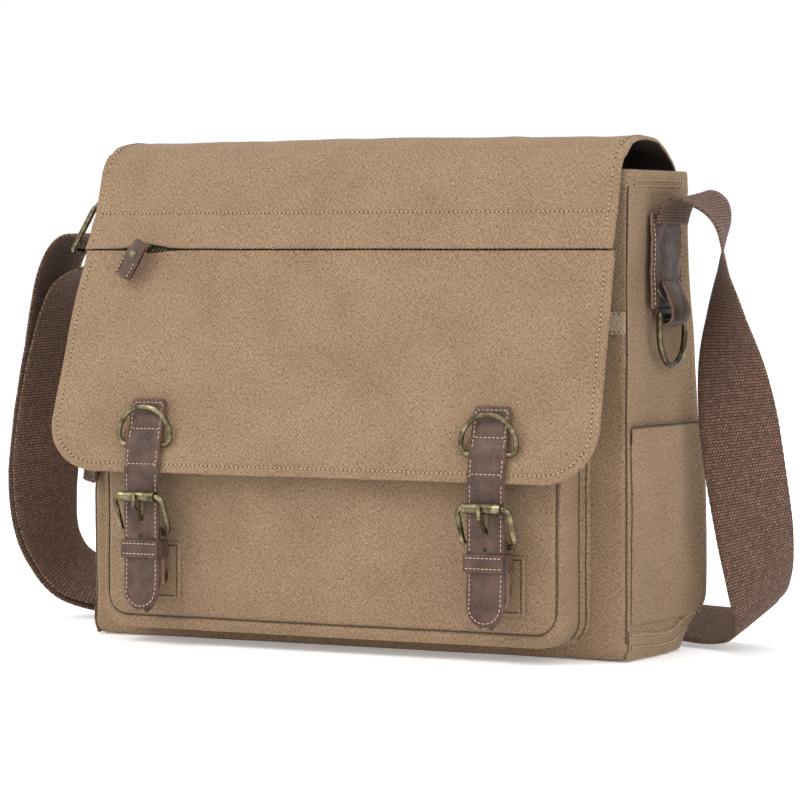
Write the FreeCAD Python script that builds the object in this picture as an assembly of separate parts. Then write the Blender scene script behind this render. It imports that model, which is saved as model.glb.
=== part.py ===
# Canvas messenger bag: a soft box body with a box pocket on its front, a fold-over flap in two
# hinged stretches, two buckled leather closures, zips, side rings and a webbing shoulder strap.
# Millimetres, +Z up, X along the bag's width, front towards -Y.
# Origin: centre of the body's base, on the surface that the bag stands on.
import FreeCAD, Part
import math
import os

Vector = FreeCAD.Vector
X_AXIS = Vector(1, 0, 0)
Y_AXIS = Vector(0, 1, 0)
Z_AXIS = Vector(0, 0, 1)

# ---- driving dimensions -------------------------------------------------------------------
BODY_HALF_WIDTH = 189.0
BODY_HEIGHT = 300.0
BODY_FRONT = -50.0
BODY_BACK = 48.0
CANVAS = 2.0                 # outer canvas with its lining
BACK_THICKNESS = 4.0         # canvas with a foam layer
LINING = 1.0
CLEARANCE = 0.3              # between pieces that move past each other

POCKET_HALF_WIDTH = 160.0
POCKET_FRONT = -85.0
POCKET_BOTTOM = 10.0
POCKET_KNEE = 125.0          # above this height the pocket's front leans back
POCKET_TOP = 212.0
POCKET_TOP_FRONT = -71.0

CREST_HALF_WIDTH = 187.0
CREST_CENTRE = Vector(0, -4.5, 239.0)
CREST_RADIUS = 81.6
CREST_HALF_ANGLE = 39.1      # degrees each side of straight up
FLAP_THICKNESS = 3.5
FLAP_TOP = Vector(0, -56.0, 300.0)
FLAP_LEAN = 13.6             # degrees, the flap's front leans out towards its bottom edge
FLAP_START = 3.0             # distances down the flap's face from FLAP_TOP
FLAP_FOLD_EDGE = 48.0
FLAP_LOWER_START = 54.0
FLAP_LENGTH = 195.0
FLAP_HALF_WIDTH = 190.0
FLAP_CORNER = 35.0

STRAP_WIDTH = 26.0           # leather closure strap
STRAP_THICKNESS = 4.0
CLOSURE_X = 120.0
CLOSURE_FRONT = -105.5
CLOSURE_TOP = 109.8
CLOSURE_TIP = 23.5
STITCHED_STRAP_START = 149.0
STITCHED_STRAP_END = 193.0
STITCHED_STRAP_THICKNESS = 5.0
RING_BAR_DOWN = 178.0        # down the flap's face
RING_BAR_OUT = 2.4
RING_HALF_BAR = 13.2
RING_CORNER = 5.4
RING_WIRE = 1.6
RING_TILT = 16.0

ROLLER_HEIGHT = 95.5
ROLLER_RADIUS = 3.4
ROLLER_HALF_LENGTH = 12.6
FRAME_WIRE = 1.75
FRAME_HALF_WIDTH = 17.2
FRAME_BEND = 4.5
FRAME_BAR_HEIGHT = 72.0
RUNNING_FIT = 0.05

WEBBING_WIDTH = 50.0
WEBBING_THICKNESS = 2.4
SIDE_RING_Z = 210.5
SIDE_RING_X = 195.2
SIDE_RING_HALF = 20.0
SIDE_WIRE = 2.0
ANCHOR_Y = 4.0               # centre of the side anchors and of the webbing's ends
STRAP_RING_TOP = Vector(-203.5, ANCHOR_Y, 278.0)
STRAP_RING_BOTTOM = Vector(-221.0, ANCHOR_Y, 249.0)
STRAP_RING_HALF = 27.5

FLAP_SLIDER_X = -140.0
FLAP_SLIDER_DOWN = 51.0
FLAP_PULLER_TURN = 27.0
FRONT_ZIP_X = 183.0
FRONT_SLIDER_Z = 118.0
FRONT_PULLER_TURN = 14.0

# The shoulder strap's route: centre of the webbing, the compass direction of its width and
# how far the width tips out of level, from the right anchor round the back to the left ring.
STRAP_ROUTE = [
    ((195, 4, 266), 90, 0), ((198, 4, 280), 90, 4), ((213, 4, 285), 96, 12),
    ((228, 5, 270), 106, 10), ((227, 7, 246), 119, 3), ((227, 9, 219), 140, 0),
    ((229, 12, 187), 168, 0), ((233, 16, 152), 192, 0), ((236, 22, 116), 207, 0),
    ((239, 30, 82), 219, -2), ((240, 40, 49), 238, -8), ((236, 53, 20), 262, -17),
    ((211, 69, 11.5), 270, -20), ((166, 83, 13), 269, -19), ((110, 86, 14), 270, -18),
    ((54, 84, 15), 270, -18), ((-4, 87, 15), 270, -18), ((-62, 85, 15), 270, -18),
    ((-120, 88, 14), 271, -20), ((-173, 85, 14), 271, -22), ((-214, 66, 15.5), 270, -26),
    ((-245, 50, 19), 269, -30), ((-266, 43, 26), 266, -26), ((-278, 36, 46), 260, -16),
    ((-279, 26, 76), 248, -5), ((-272, 18, 115), 239, 0), ((-264, 11, 160), 248, 0),
    ((-258, 7, 200), 262, 0), ((-253, 5, 230), 268, 0), ((-243, 4, 252), 270, 0),
    ((-228, 4, 262), 270, 0), ((-214, 4, 257), 270, 0), ((-209, 4, 245), 270, 0),
]
RETURN_START = 17            # the second ply lies on the first from here up to the strap ring,
RETURN_END = 28              # and from here it parts from the first to pass the ring's bar
RETURN_TAIL = [(-244, 5, 222), (-230, 4, 235), (-214, 4, 239)]
PLY_GAP = 6.0


# ---- plain solids ---------------------------------------------------------------------------
def block(x0, x1, y0, y1, z0, z1):
    return Part.makeBox(x1 - x0, y1 - y0, z1 - z0, Vector(x0, y0, z0))


def mirrored(x0, x1):
    """The same span on the other side of the middle plane."""
    return -x1, -x0


def prism_along_x(outline, x0, x1):
    """Extrudes a closed outline of (y, z) points from x0 to x1."""
    points = [Vector(x0, y, z) for y, z in outline]
    face = Part.Face(Part.makePolygon(points + points[:1]))
    return face.extrude(Vector(x1 - x0, 0, 0))


def prism_along_y(outline, y0, y1):
    """Extrudes a closed outline of (x, z) points from y0 to y1."""
    points = [Vector(x, y0, z) for x, z in outline]
    face = Part.Face(Part.makePolygon(points + points[:1]))
    return face.extrude(Vector(0, y1 - y0, 0))


def rod(start, end, radius):
    return Part.makeCylinder(radius, (end - start).Length, start, end - start)


def disc(centre, direction, radius, thickness):
    return Part.makeCylinder(radius, thickness, centre, direction)


def bent_wire(path, radius):
    """Sweeps a round wire along a path of joined edges."""
    first = path.Edges[0]
    start = first.valueAt(first.FirstParameter)
    tangent = first.tangentAt(first.FirstParameter)
    ring = Part.Wire(Part.makeCircle(radius, start, tangent))
    return path.makePipeShell([ring], True, False)


def line(a, b):
    return Part.LineSegment(a, b).toShape()


def arc(a, middle, b):
    return Part.Arc(a, middle, b).toShape()


def d_ring(half_width, side, wire):
    """A D-shaped ring in the XZ plane: its straight bar on the X axis, its bow below."""
    left = Vector(-half_width, 0, 0)
    right = Vector(half_width, 0, 0)
    low_left = Vector(-half_width, 0, -side)
    low_right = Vector(half_width, 0, -side)
    bottom = Vector(0, 0, -side - half_width)
    bow = Part.Wire([line(left, low_left), arc(low_left, bottom, low_right), line(low_right, right)])
    ring = bent_wire(bow, wire)
    bar = rod(left, right, wire)
    ends = [Part.makeSphere(wire, left), Part.makeSphere(wire, right)]
    return ring.fuse([bar] + ends).removeSplitter()


def bowed_ring(half_bar, corner, wire):
    """A ring in the XZ plane: straight bar on the X axis, rounded corners, round bow below."""
    half_width = half_bar + corner
    bend = corner * math.sqrt(0.5)
    bar_left = Vector(-half_bar, 0, 0)
    bar_right = Vector(half_bar, 0, 0)
    left = Vector(-half_width, 0, -corner)
    right = Vector(half_width, 0, -corner)
    corner_left = Vector(-half_bar - bend, 0, bend - corner)
    corner_right = Vector(half_bar + bend, 0, bend - corner)
    edges = [
        line(Vector(), bar_left), arc(bar_left, corner_left, left),
        arc(left, Vector(0, 0, -corner - half_width), right),
        arc(right, corner_right, bar_right), line(bar_right, Vector()),
    ]
    return bent_wire(Part.Wire(edges), wire)


def rounded_loop(corners, bend, wire):
    """A closed wire frame through the corners, each one bent to that radius."""
    bends = []
    for index, corner in enumerate(corners):
        before = (corners[index - 1] - corner).normalize()
        after = (corners[(index + 1) % len(corners)] - corner).normalize()
        half = before.getAngle(after) / 2
        setback = bend / math.tan(half)
        centre = corner + (before + after).normalize() * (bend / math.sin(half))
        middle = centre + (corner - centre).normalize() * bend
        bends.append((corner + before * setback, middle, corner + after * setback))
    seam = (corners[0] + corners[1]) * 0.5
    edges = []
    reached = seam
    for start, middle, end in bends[1:] + bends[:1]:
        edges.append(line(reached, start))
        edges.append(arc(start, middle, end))
        reached = end
    edges.append(line(reached, seam))
    return bent_wire(Part.Wire(edges), wire)


def loop_frame(half_width, height, wire):
    """A rectangular wire loop in the XZ plane, its top bar on the X axis."""
    corners = [
        Vector(-half_width, 0, 0), Vector(half_width, 0, 0),
        Vector(half_width, 0, -height), Vector(-half_width, 0, -height),
    ]
    return rounded_loop(corners, 3.2, wire)


def save(name, shape):
    shape.exportStep("parts/" + name + ".step")


# ---- body -------------------------------------------------------------------------------------
def gusset_span(side):
    inner = BODY_HALF_WIDTH - CANVAS
    return (inner, BODY_HALF_WIDTH) if side == "right" else mirrored(inner, BODY_HALF_WIDTH)


def make_body_panels():
    """Front and back panels, side gussets and the base, each a flat panel of the box."""
    inside_back = BODY_BACK - BACK_THICKNESS
    half = BODY_HALF_WIDTH
    front = block(-half, half, BODY_FRONT, BODY_FRONT + CANVAS, CANVAS, BODY_HEIGHT - 2)
    back = block(-half, half, inside_back, BODY_BACK, CANVAS, BODY_HEIGHT - 2)
    save("front_panel", front)
    save("back_panel", back)
    for side in ("left", "right"):
        x0, x1 = gusset_span(side)
        gusset = block(x0, x1, BODY_FRONT + CANVAS, inside_back, CANVAS, BODY_HEIGHT - 2)
        save("gusset_" + side, gusset)
    save("base_panel", block(-half, half, BODY_FRONT, BODY_BACK, 0, CANVAS))
    board = block(-half + 6, half - 6, BODY_FRONT + 15, inside_back - 2, CANVAS, CANVAS + 2)
    save("base_board", board)


def make_inner_walls():
    """The lining wall behind the zipped front compartment, its top strip and the laptop divider."""
    half = BODY_HALF_WIDTH - CANVAS - 0.5
    wall_y = BODY_FRONT + 11
    save("compartment_wall", block(-half, half, wall_y, wall_y + LINING, CANVAS, 284))
    top = block(-half, half, BODY_FRONT + CANVAS, wall_y + LINING, 284, 284 + LINING)
    save("compartment_top", top)
    save("laptop_divider", block(-half + 4, half - 4, 16, 22, CANVAS + 2, 240))


def make_base_bands():
    """Canvas bands round the foot of each side."""
    for side, sign in (("left", -1), ("right", 1)):
        x0, x1 = sorted((sign * BODY_HALF_WIDTH, sign * (BODY_HALF_WIDTH + 1.5)))
        save("base_band_" + side, block(x0, x1, BODY_FRONT, BODY_BACK, 0, 22))


def make_side_pockets():
    """Slip pockets on the sides: canvas bowed outwards, open at the top."""
    half_chord = 45.0
    rise = 10.0
    radius = (half_chord ** 2 + rise ** 2) / (2 * rise)
    centre_y = -1.0
    for side, sign in (("left", -1), ("right", 1)):
        centre = Vector(sign * (BODY_HALF_WIDTH + rise - radius), centre_y, 22)
        outer = Part.makeCylinder(radius, 121, centre, Z_AXIS)
        inner = Part.makeCylinder(radius - 1.6, 121, centre, Z_AXIS)
        x0, x1 = sorted((sign * BODY_HALF_WIDTH, sign * (BODY_HALF_WIDTH + rise + 2)))
        slab = block(x0, x1, centre_y - half_chord, centre_y + half_chord, 22, 143)
        save("side_pocket_" + side, outer.cut(inner).common(slab))


def make_front_zip():
    """The front compartment's zip: tape on both sides and across the top, teeth down its middle."""
    outer = FRONT_ZIP_X + 5
    inner = FRONT_ZIP_X - 5
    face = BODY_FRONT
    outline = [
        (-outer, 108), (-outer, 290), (outer, 290), (outer, 205),
        (inner, 205), (inner, 280), (-inner, 280), (-inner, 108),
    ]
    save("front_zip", prism_along_y(outline, face - 1.0, face))
    save("zip_end_tab", block(inner - 1, outer, face - 1.8, face - 1.0, 199, 213))


def slider_body(width):
    """A zip slider, its wide faces square to -Y, centred on the origin: base, bridge and post."""
    base = block(-width / 2, width / 2, -2.2, 0, -6, 6)
    bridge = block(-1.2, 1.2, -2.8, -2.2, -4.5, 4.5)
    post = disc(Vector(0, -2.5, 0), Vector(0, -1, 0), 1.0, 3.0)
    return base.fuse([bridge, post]).removeSplitter()


def leather_puller(width, length):
    """A folded leather loop hanging from a slider's post, its two plies joined at the bottom."""
    top = 4.0
    near = block(-width / 2, width / 2, -4.5, -3.1, -length + top, top)
    far = block(-width / 2, width / 2, -7.6, -6.2, -length + top, top)
    fold = block(-width / 2, width / 2, -7.6, -3.1, -length + top - 1.4, -length + top)
    hole = disc(Vector(0, -2.0, 0), Vector(0, -1, 0), 1.0 + RUNNING_FIT, 2.6)
    return near.fuse([far, fold]).removeSplitter().cut(hole)


def puller_rivet(drop):
    """The rivet that closes a puller's two plies below the slider's post."""
    shank = disc(Vector(0, -3.1, -drop), Vector(0, -1, 0), 1.2, 4.5)
    head = disc(Vector(0, -7.6, -drop), Vector(0, -1, 0), 2.4, 1.0)
    return shank.fuse(head).removeSplitter()


def make_front_slider():
    """Slider, leather puller and rivet on the left leg of the front zip."""
    seat = Vector(-FRONT_ZIP_X, BODY_FRONT - 1.0 - CLEARANCE, FRONT_SLIDER_Z)
    for name, shape, turn in (
        ("front_zip_slider", slider_body(8.0), 0),
        ("front_zip_puller", leather_puller(11.0, 22.0), FRONT_PULLER_TURN),
        ("front_zip_rivet", puller_rivet(5.5), FRONT_PULLER_TURN),
    ):
        shape.rotate(Vector(), Y_AXIS, turn)
        shape.translate(seat)
        save(name, shape)


# ---- front pocket ---------------------------------------------------------------------------
def make_front_pocket():
    """The box pocket: front panel, side and bottom gussets, open at the top under the flap."""
    half = POCKET_HALF_WIDTH
    outline = [
        (POCKET_FRONT, POCKET_BOTTOM), (POCKET_FRONT, POCKET_KNEE), (POCKET_TOP_FRONT, POCKET_TOP),
        (POCKET_TOP_FRONT + CANVAS, POCKET_TOP), (POCKET_FRONT + CANVAS, POCKET_KNEE),
        (POCKET_FRONT + CANVAS, POCKET_BOTTOM),
    ]
    save("pocket_front", prism_along_x(outline, -half, half))
    side_outline = [
        (BODY_FRONT, POCKET_BOTTOM), (POCKET_FRONT + CANVAS, POCKET_BOTTOM),
        (POCKET_FRONT + CANVAS, POCKET_KNEE), (POCKET_TOP_FRONT + CANVAS, POCKET_TOP - 2),
        (BODY_FRONT, POCKET_TOP - 2),
    ]
    save("pocket_gusset_right", prism_along_x(side_outline, half - CANVAS, half))
    save("pocket_gusset_left", prism_along_x(side_outline, -half, CANVAS - half))
    inner = half - CANVAS
    bottom = block(
        -inner, inner, POCKET_FRONT + CANVAS, BODY_FRONT, POCKET_BOTTOM, POCKET_BOTTOM + CANVAS
    )
    save("pocket_bottom", bottom)


# ---- flap -------------------------------------------------------------------------------------
def on_flap(shape):
    """Places a shape drawn on an upright flap (face at y=0, top at z=0) onto the leaning flap."""
    shape.rotate(Vector(), X_AXIS, -FLAP_LEAN)
    shape.translate(FLAP_TOP)
    return shape


def flap_point(out, down):
    """(y, z) of a point that distance out of the flap's face and down it."""
    lean = math.radians(FLAP_LEAN)
    y = FLAP_TOP.y - out * math.cos(lean) - down * math.sin(lean)
    z = FLAP_TOP.z + out * math.sin(lean) - down * math.cos(lean)
    return y, z


def make_flap_crest():
    """The arched stretch over the top of the bag, outer canvas and lining."""
    sweep = 2 * CREST_HALF_ANGLE
    layers = (
        ("flap_crest", CREST_RADIUS, FLAP_THICKNESS - 1.5),
        ("crest_lining", CREST_RADIUS - FLAP_THICKNESS + 1.5, 1.5),
    )
    for name, outer, thickness in layers:
        start = CREST_CENTRE - Vector(CREST_HALF_WIDTH, 0, 0)
        tube = Part.makeCylinder(outer, 2 * CREST_HALF_WIDTH, start, X_AXIS, sweep)
        core = Part.makeCylinder(outer - thickness, 2 * CREST_HALF_WIDTH, start, X_AXIS, sweep)
        shell = tube.cut(core)
        middle = Vector(0, 0, 0)
        for corner in (shell.BoundBox.getPoint(0), shell.BoundBox.getPoint(6)):
            middle = middle + corner.multiply(0.5)
        offset = math.degrees(math.atan2(middle.z - CREST_CENTRE.z, middle.y - CREST_CENTRE.y))
        shell.rotate(CREST_CENTRE, X_AXIS, 90 - offset)
        save(name, shell)


def rounded_apron(start, thickness, inset):
    """A sheet hanging from `start` to the flap's bottom edge, its lower corners rounded."""
    half = FLAP_HALF_WIDTH
    sheet = block(-half, half, inset, inset + thickness, -FLAP_LENGTH, -start)
    corners = []
    for edge in sheet.Edges:
        box = edge.BoundBox
        if abs(box.YLength - thickness) < 0.01 and box.ZMax < -FLAP_LENGTH + 0.01:
            corners.append(edge)
    return sheet.makeFillet(FLAP_CORNER, corners)


def make_flap_front():
    """The hanging stretch: a placket above the zip, the apron below it, and the lining behind."""
    placket = block(-CREST_HALF_WIDTH, CREST_HALF_WIDTH, 0, 2, -FLAP_FOLD_EDGE, -FLAP_START)
    save("flap_placket", on_flap(placket))
    save("flap_apron", on_flap(rounded_apron(FLAP_LOWER_START, 2.0, 0.0)))
    save("flap_lining", on_flap(rounded_apron(FLAP_START, 1.5, 2.0)))
    tape = block(-174, 183, 0.8, 2.0, -FLAP_LOWER_START + 0.2, -FLAP_FOLD_EDGE - 0.2)
    save("flap_zip", on_flap(tape))


def make_flap_slider():
    """Slider, leather puller and rivet of the flap's zip."""
    seat = Vector(FLAP_SLIDER_X, 0.8 - CLEARANCE, -FLAP_SLIDER_DOWN)
    slider = slider_body(4.6)
    slider.rotate(Vector(), Y_AXIS, 90)
    for name, shape, turn in (
        ("flap_zip_slider", slider, 0),
        ("flap_zip_puller", leather_puller(12.0, 25.0), FLAP_PULLER_TURN),
        ("flap_zip_rivet", puller_rivet(5.5), FLAP_PULLER_TURN),
    ):
        shape.rotate(Vector(), Y_AXIS, turn)
        shape.translate(seat)
        save(name, on_flap(shape))


# ---- closures -----------------------------------------------------------------------------
def make_stitched_strap(side, x):
    """The closure strap's upper end, stitched to the flap over the ring's bar."""
    strap = block(
        x - STRAP_WIDTH / 2, x + STRAP_WIDTH / 2, -STITCHED_STRAP_THICKNESS, 0,
        -STITCHED_STRAP_END, -STITCHED_STRAP_START,
    )
    tunnel = rod(
        Vector(x - 20, -RING_BAR_OUT, -RING_BAR_DOWN), Vector(x + 20, -RING_BAR_OUT, -RING_BAR_DOWN),
        RING_WIRE + RUNNING_FIT,
    )
    save("stitched_strap_" + side, on_flap(strap.cut(tunnel)))
    ring = bowed_ring(RING_HALF_BAR, RING_CORNER, RING_WIRE)
    ring.rotate(Vector(), X_AXIS, 180 + RING_TILT)
    ring.translate(Vector(x, -RING_BAR_OUT, -RING_BAR_DOWN))
    save("closure_ring_" + side, on_flap(ring))


def frame_bar_centre():
    """(y, z) of the buckle's hinge bar, behind the strap."""
    return CLOSURE_FRONT + STRAP_THICKNESS + FRAME_WIRE + 0.8, FRAME_BAR_HEIGHT


def roller_centre():
    """(y, z) of the buckle's roller, in front of the strap."""
    return CLOSURE_FRONT - ROLLER_RADIUS - 0.4, ROLLER_HEIGHT


def make_closure_strap(side, x):
    """The hanging strap with its prong slot, rounded at the tip."""
    half = STRAP_WIDTH / 2
    back = CLOSURE_FRONT + STRAP_THICKNESS
    body = block(x - half, x + half, CLOSURE_FRONT, back, CLOSURE_TIP + half, CLOSURE_TOP)
    tip = disc(Vector(x, CLOSURE_FRONT, CLOSURE_TIP + half), Y_AXIS, half, STRAP_THICKNESS)
    slot = block(x - 1.7, x + 1.7, CLOSURE_FRONT - 1, back + 1, 76.0, 92.0)
    save("closure_strap_" + side, body.fuse(tip).removeSplitter().cut(slot))


def make_buckle(side, x):
    """Wire frame, roller and prong of one buckle."""
    bar_y, bar_z = frame_bar_centre()
    top_y, top_z = roller_centre()
    corners = [
        Vector(x - FRAME_HALF_WIDTH, bar_y, bar_z), Vector(x + FRAME_HALF_WIDTH, bar_y, bar_z),
        Vector(x + FRAME_HALF_WIDTH, top_y, top_z), Vector(x - FRAME_HALF_WIDTH, top_y, top_z),
    ]
    save("buckle_frame_" + side, rounded_loop(corners, FRAME_BEND, FRAME_WIRE))

    ends = (Vector(x - ROLLER_HALF_LENGTH, top_y, top_z), Vector(x + ROLLER_HALF_LENGTH, top_y, top_z))
    roller = rod(ends[0], ends[1], ROLLER_RADIUS)
    save("buckle_roller_" + side, roller.cut(rod(ends[0], ends[1], FRAME_WIRE + RUNNING_FIT)))

    wire = 1.2
    front_y = top_y - ROLLER_RADIUS - wire - 0.3
    start = Vector(x, bar_y, bar_z + 2.2)
    bend = Vector(x, bar_y, bar_z + 6.5)
    over = Vector(x, front_y, top_z - 6.0)
    end = Vector(x, front_y, top_z + 1.5)
    shank = [rod(start, bend, wire), rod(bend, over, wire), rod(over, end, wire)]
    joints = [Part.makeSphere(wire, bend), Part.makeSphere(wire, over), Part.makeSphere(wire, end)]
    eye = rod(Vector(x - 1.6, bar_y, bar_z), Vector(x + 1.6, bar_y, bar_z), FRAME_WIRE + 0.7)
    bore = rod(
        Vector(x - 2, bar_y, bar_z), Vector(x + 2, bar_y, bar_z), FRAME_WIRE + RUNNING_FIT
    )
    save("buckle_prong_" + side, eye.fuse(shank + joints).removeSplitter().cut(bore))


def make_chape(side, x):
    """The leather behind the strap that holds the buckle, the keeper and the snap's stud."""
    half = STRAP_WIDTH / 2 - 0.5
    bar_y, bar_z = frame_bar_centre()
    front = CLOSURE_FRONT + STRAP_THICKNESS + 4.5
    leather = block(x - half, x + half, front, front + 2.2, 33, bar_z + 1)
    leather = leather.cut(block(x - 2.5, x + 2.5, front - 1, front + 3, bar_z - 4, bar_z + 2))
    filler = block(x - half, x + half, CLOSURE_FRONT + STRAP_THICKNESS + 0.2, front, 33, bar_z - 5)
    cheeks = []
    for x0, x1 in ((x - half, x - 2.5), (x + 2.5, x + half)):
        cheek = rod(Vector(x0, bar_y, bar_z), Vector(x1, bar_y, bar_z), FRAME_WIRE + 2.0)
        trim = block(x0 - 1, x1 + 1, bar_y - 9, CLOSURE_FRONT + STRAP_THICKNESS + 0.1, bar_z - 9, bar_z + 9)
        cheeks.append(cheek.cut(trim))
    bore = rod(Vector(x - half - 1, bar_y, bar_z), Vector(x + half + 1, bar_y, bar_z), FRAME_WIRE)
    save("chape_" + side, leather.fuse([filler] + cheeks).removeSplitter().cut(bore))

    outer = block(x - 15.2, x + 15.2, CLOSURE_FRONT - 2.0, front + 4.2, 56.5, 68.0)
    inner = block(x - 13.2, x + 13.2, CLOSURE_FRONT, front + 2.2, 56, 69)
    save("keeper_" + side, outer.cut(inner))

    stud = disc(Vector(x, front + 2.2, 45), Y_AXIS, 8.5, 1.6)
    nub = disc(Vector(x, front + 3.8, 45), Y_AXIS, 2.8, 1.5)
    save("snap_stud_" + side, stud.fuse(nub).removeSplitter())
    return front + 3.8


def make_snap_seat(side, x, stud_face):
    """The canvas patch on the pocket with the snap's socket on it."""
    patch_front = POCKET_FRONT - 2.0
    save("snap_patch_" + side, block(x - 18, x + 18, patch_front, POCKET_FRONT, 29, 66))
    socket_front = stud_face + 0.5
    socket = disc(Vector(x, socket_front, 45), Y_AXIS, 9.0, patch_front - socket_front)
    recess = disc(Vector(x, socket_front, 45), Y_AXIS, 6.0, 2.2)
    save("snap_socket_" + side, socket.cut(recess))


def make_closures():
    for side, x in (("left", -CLOSURE_X), ("right", CLOSURE_X)):
        make_stitched_strap(side, x)
        make_closure_strap(side, x)
        make_buckle(side, x)
        stud_face = make_chape(side, x)
        make_snap_seat(side, x, stud_face)


# ---- side fittings --------------------------------------------------------------------------
def make_right_anchor():
    """Leather anchor on the right side, with a D-ring hanging in its folded lower end."""
    face = BODY_HALF_WIDTH
    patch = block(face, face + 3.5, ANCHOR_Y - 25, ANCHOR_Y + 25, SIDE_RING_Z + 4, 273)
    start = Vector(SIDE_RING_X, ANCHOR_Y - 14, SIDE_RING_Z)
    end = Vector(SIDE_RING_X, ANCHOR_Y + 14, SIDE_RING_Z)
    fold = rod(start, end, SIDE_WIRE + 3.2)
    neck = block(face, SIDE_RING_X, ANCHOR_Y - 14, ANCHOR_Y + 14, SIDE_RING_Z, SIDE_RING_Z + 6)
    bore = rod(start, end, SIDE_WIRE + RUNNING_FIT)
    outside = block(face, face + 20, ANCHOR_Y - 30, ANCHOR_Y + 30, 190, 280)
    anchor = patch.fuse([fold, neck]).removeSplitter().cut(bore).common(outside)
    save("side_anchor_right", anchor)

    ring = d_ring(SIDE_RING_HALF, 11.0, SIDE_WIRE)
    ring.rotate(Vector(), Z_AXIS, 90)
    ring.translate(Vector(SIDE_RING_X, ANCHOR_Y, SIDE_RING_Z))
    save("side_ring_right", ring)


def make_left_anchor():
    """Leather anchor on the left side, its tongue folded round the strap ring's top bar."""
    face = -BODY_HALF_WIDTH
    patch = block(face - 3.5, face, ANCHOR_Y - 25, ANCHOR_Y + 25, 222, 283)
    tongue = block(STRAP_RING_TOP.x, face, ANCHOR_Y - 22, ANCHOR_Y + 22, 275.5, 280.5)
    start = STRAP_RING_TOP - Vector(0, 22, 0)
    end = STRAP_RING_TOP + Vector(0, 22, 0)
    fold = rod(start, end, SIDE_WIRE + 2.6)
    bore = rod(start, end, SIDE_WIRE + RUNNING_FIT)
    save("side_anchor_left", patch.fuse([tongue, fold]).removeSplitter().cut(bore))

    drop = STRAP_RING_BOTTOM - STRAP_RING_TOP
    ring = loop_frame(STRAP_RING_HALF, drop.Length, SIDE_WIRE)
    ring.rotate(Vector(), Z_AXIS, 90)
    swing = math.degrees(math.atan2(-drop.x, -drop.z))
    ring.rotate(Vector(), Y_AXIS, swing)
    ring.translate(STRAP_RING_TOP)
    save("strap_ring", ring)


# ---- shoulder strap ---------------------------------------------------------------------------
def width_direction(azimuth, tip):
    flat = math.cos(math.radians(tip))
    return Vector(
        flat * math.cos(math.radians(azimuth)), flat * math.sin(math.radians(azimuth)),
        math.sin(math.radians(tip)),
    )


def rounded_sections(points, widths):
    """Stations along straight runs joined by tangent arcs: (point, tangent, width direction)."""
    stations = [(points[0], (points[1] - points[0]).normalize(), widths[0])]
    radii = []
    for index in range(1, len(points) - 1):
        corner = points[index]
        before = corner - points[index - 1]
        after = points[index + 1] - corner
        setback = 0.45 * min(before.Length, after.Length)
        before.normalize()
        after.normalize()
        turn = before.getAngle(after)
        radii.append(setback / math.tan(turn / 2))
        start = corner - before * setback
        end = corner + after * setback
        tangent = (before + after).normalize()
        middle = (start + end) * 0.5
        bulge = radii[-1] / math.cos(turn / 2) - radii[-1]
        towards = (middle - corner).normalize()
        on_arc = corner + towards * bulge
        stations.append((start, before, widths[index]))
        stations.append((on_arc, tangent, widths[index]))
        stations.append((end, after, widths[index]))
    stations.append((points[-1], (points[-1] - points[-2]).normalize(), widths[-1]))
    return stations, radii


def ribbon(points, widths, lofted):
    """A flat webbing solid along the route, and its centreline's length."""
    stations, radii = rounded_sections(points, widths)
    rings = []
    length = 0.0
    for index, (point, tangent, width) in enumerate(stations):
        across = (width - tangent * width.dot(tangent)).normalize() * (WEBBING_WIDTH / 2)
        normal = tangent.cross(across).normalize() * (WEBBING_THICKNESS / 2)
        corners = [
            point - across - normal, point + across - normal,
            point + across + normal, point - across + normal,
        ]
        rings.append(corners)
        if index:
            length += (point - stations[index - 1][0]).Length
    if lofted:
        wires = [Part.makePolygon(ring + ring[:1]) for ring in rings]
        return Part.makeLoft(wires, True, True), length, min(radii)
    return skin(rings), length, min(radii)


def skin(rings):
    """A solid between four-cornered sections, its long faces ruled from section to section."""
    faces = []
    for first, second in zip(rings, rings[1:]):
        for side in range(4):
            after = (side + 1) % 4
            low = line(first[side], first[after])
            high = line(second[side], second[after])
            faces.append(Part.makeRuledSurface(low, high))
    for ring in (rings[0], rings[-1]):
        faces.append(Part.Face(Part.makePolygon(ring + ring[:1])))
    shell = Part.makeShell(faces)
    shell.sewShape()
    solid = Part.makeSolid(shell)
    return solid if solid.Volume > 0 else solid.reversed()


def strap_route():
    points = [Vector(*place) for place, azimuth, tip in STRAP_ROUTE]
    widths = [width_direction(azimuth, tip) for place, azimuth, tip in STRAP_ROUTE]
    return points, widths


def return_route(points, widths):
    """The second ply: the first ply's route moved off its inner face, as far as the adjuster."""
    moved = []
    for index in range(RETURN_START, RETURN_END):
        tangent = (points[index + 1] - points[index - 1]).normalize()
        normal = tangent.cross(widths[index]).normalize()
        moved.append(points[index] + normal * PLY_GAP)
    tail = [Vector(*place) for place in RETURN_TAIL]
    return moved + tail, widths[RETURN_START:RETURN_END] + [widths[-1]] * len(tail)


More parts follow.
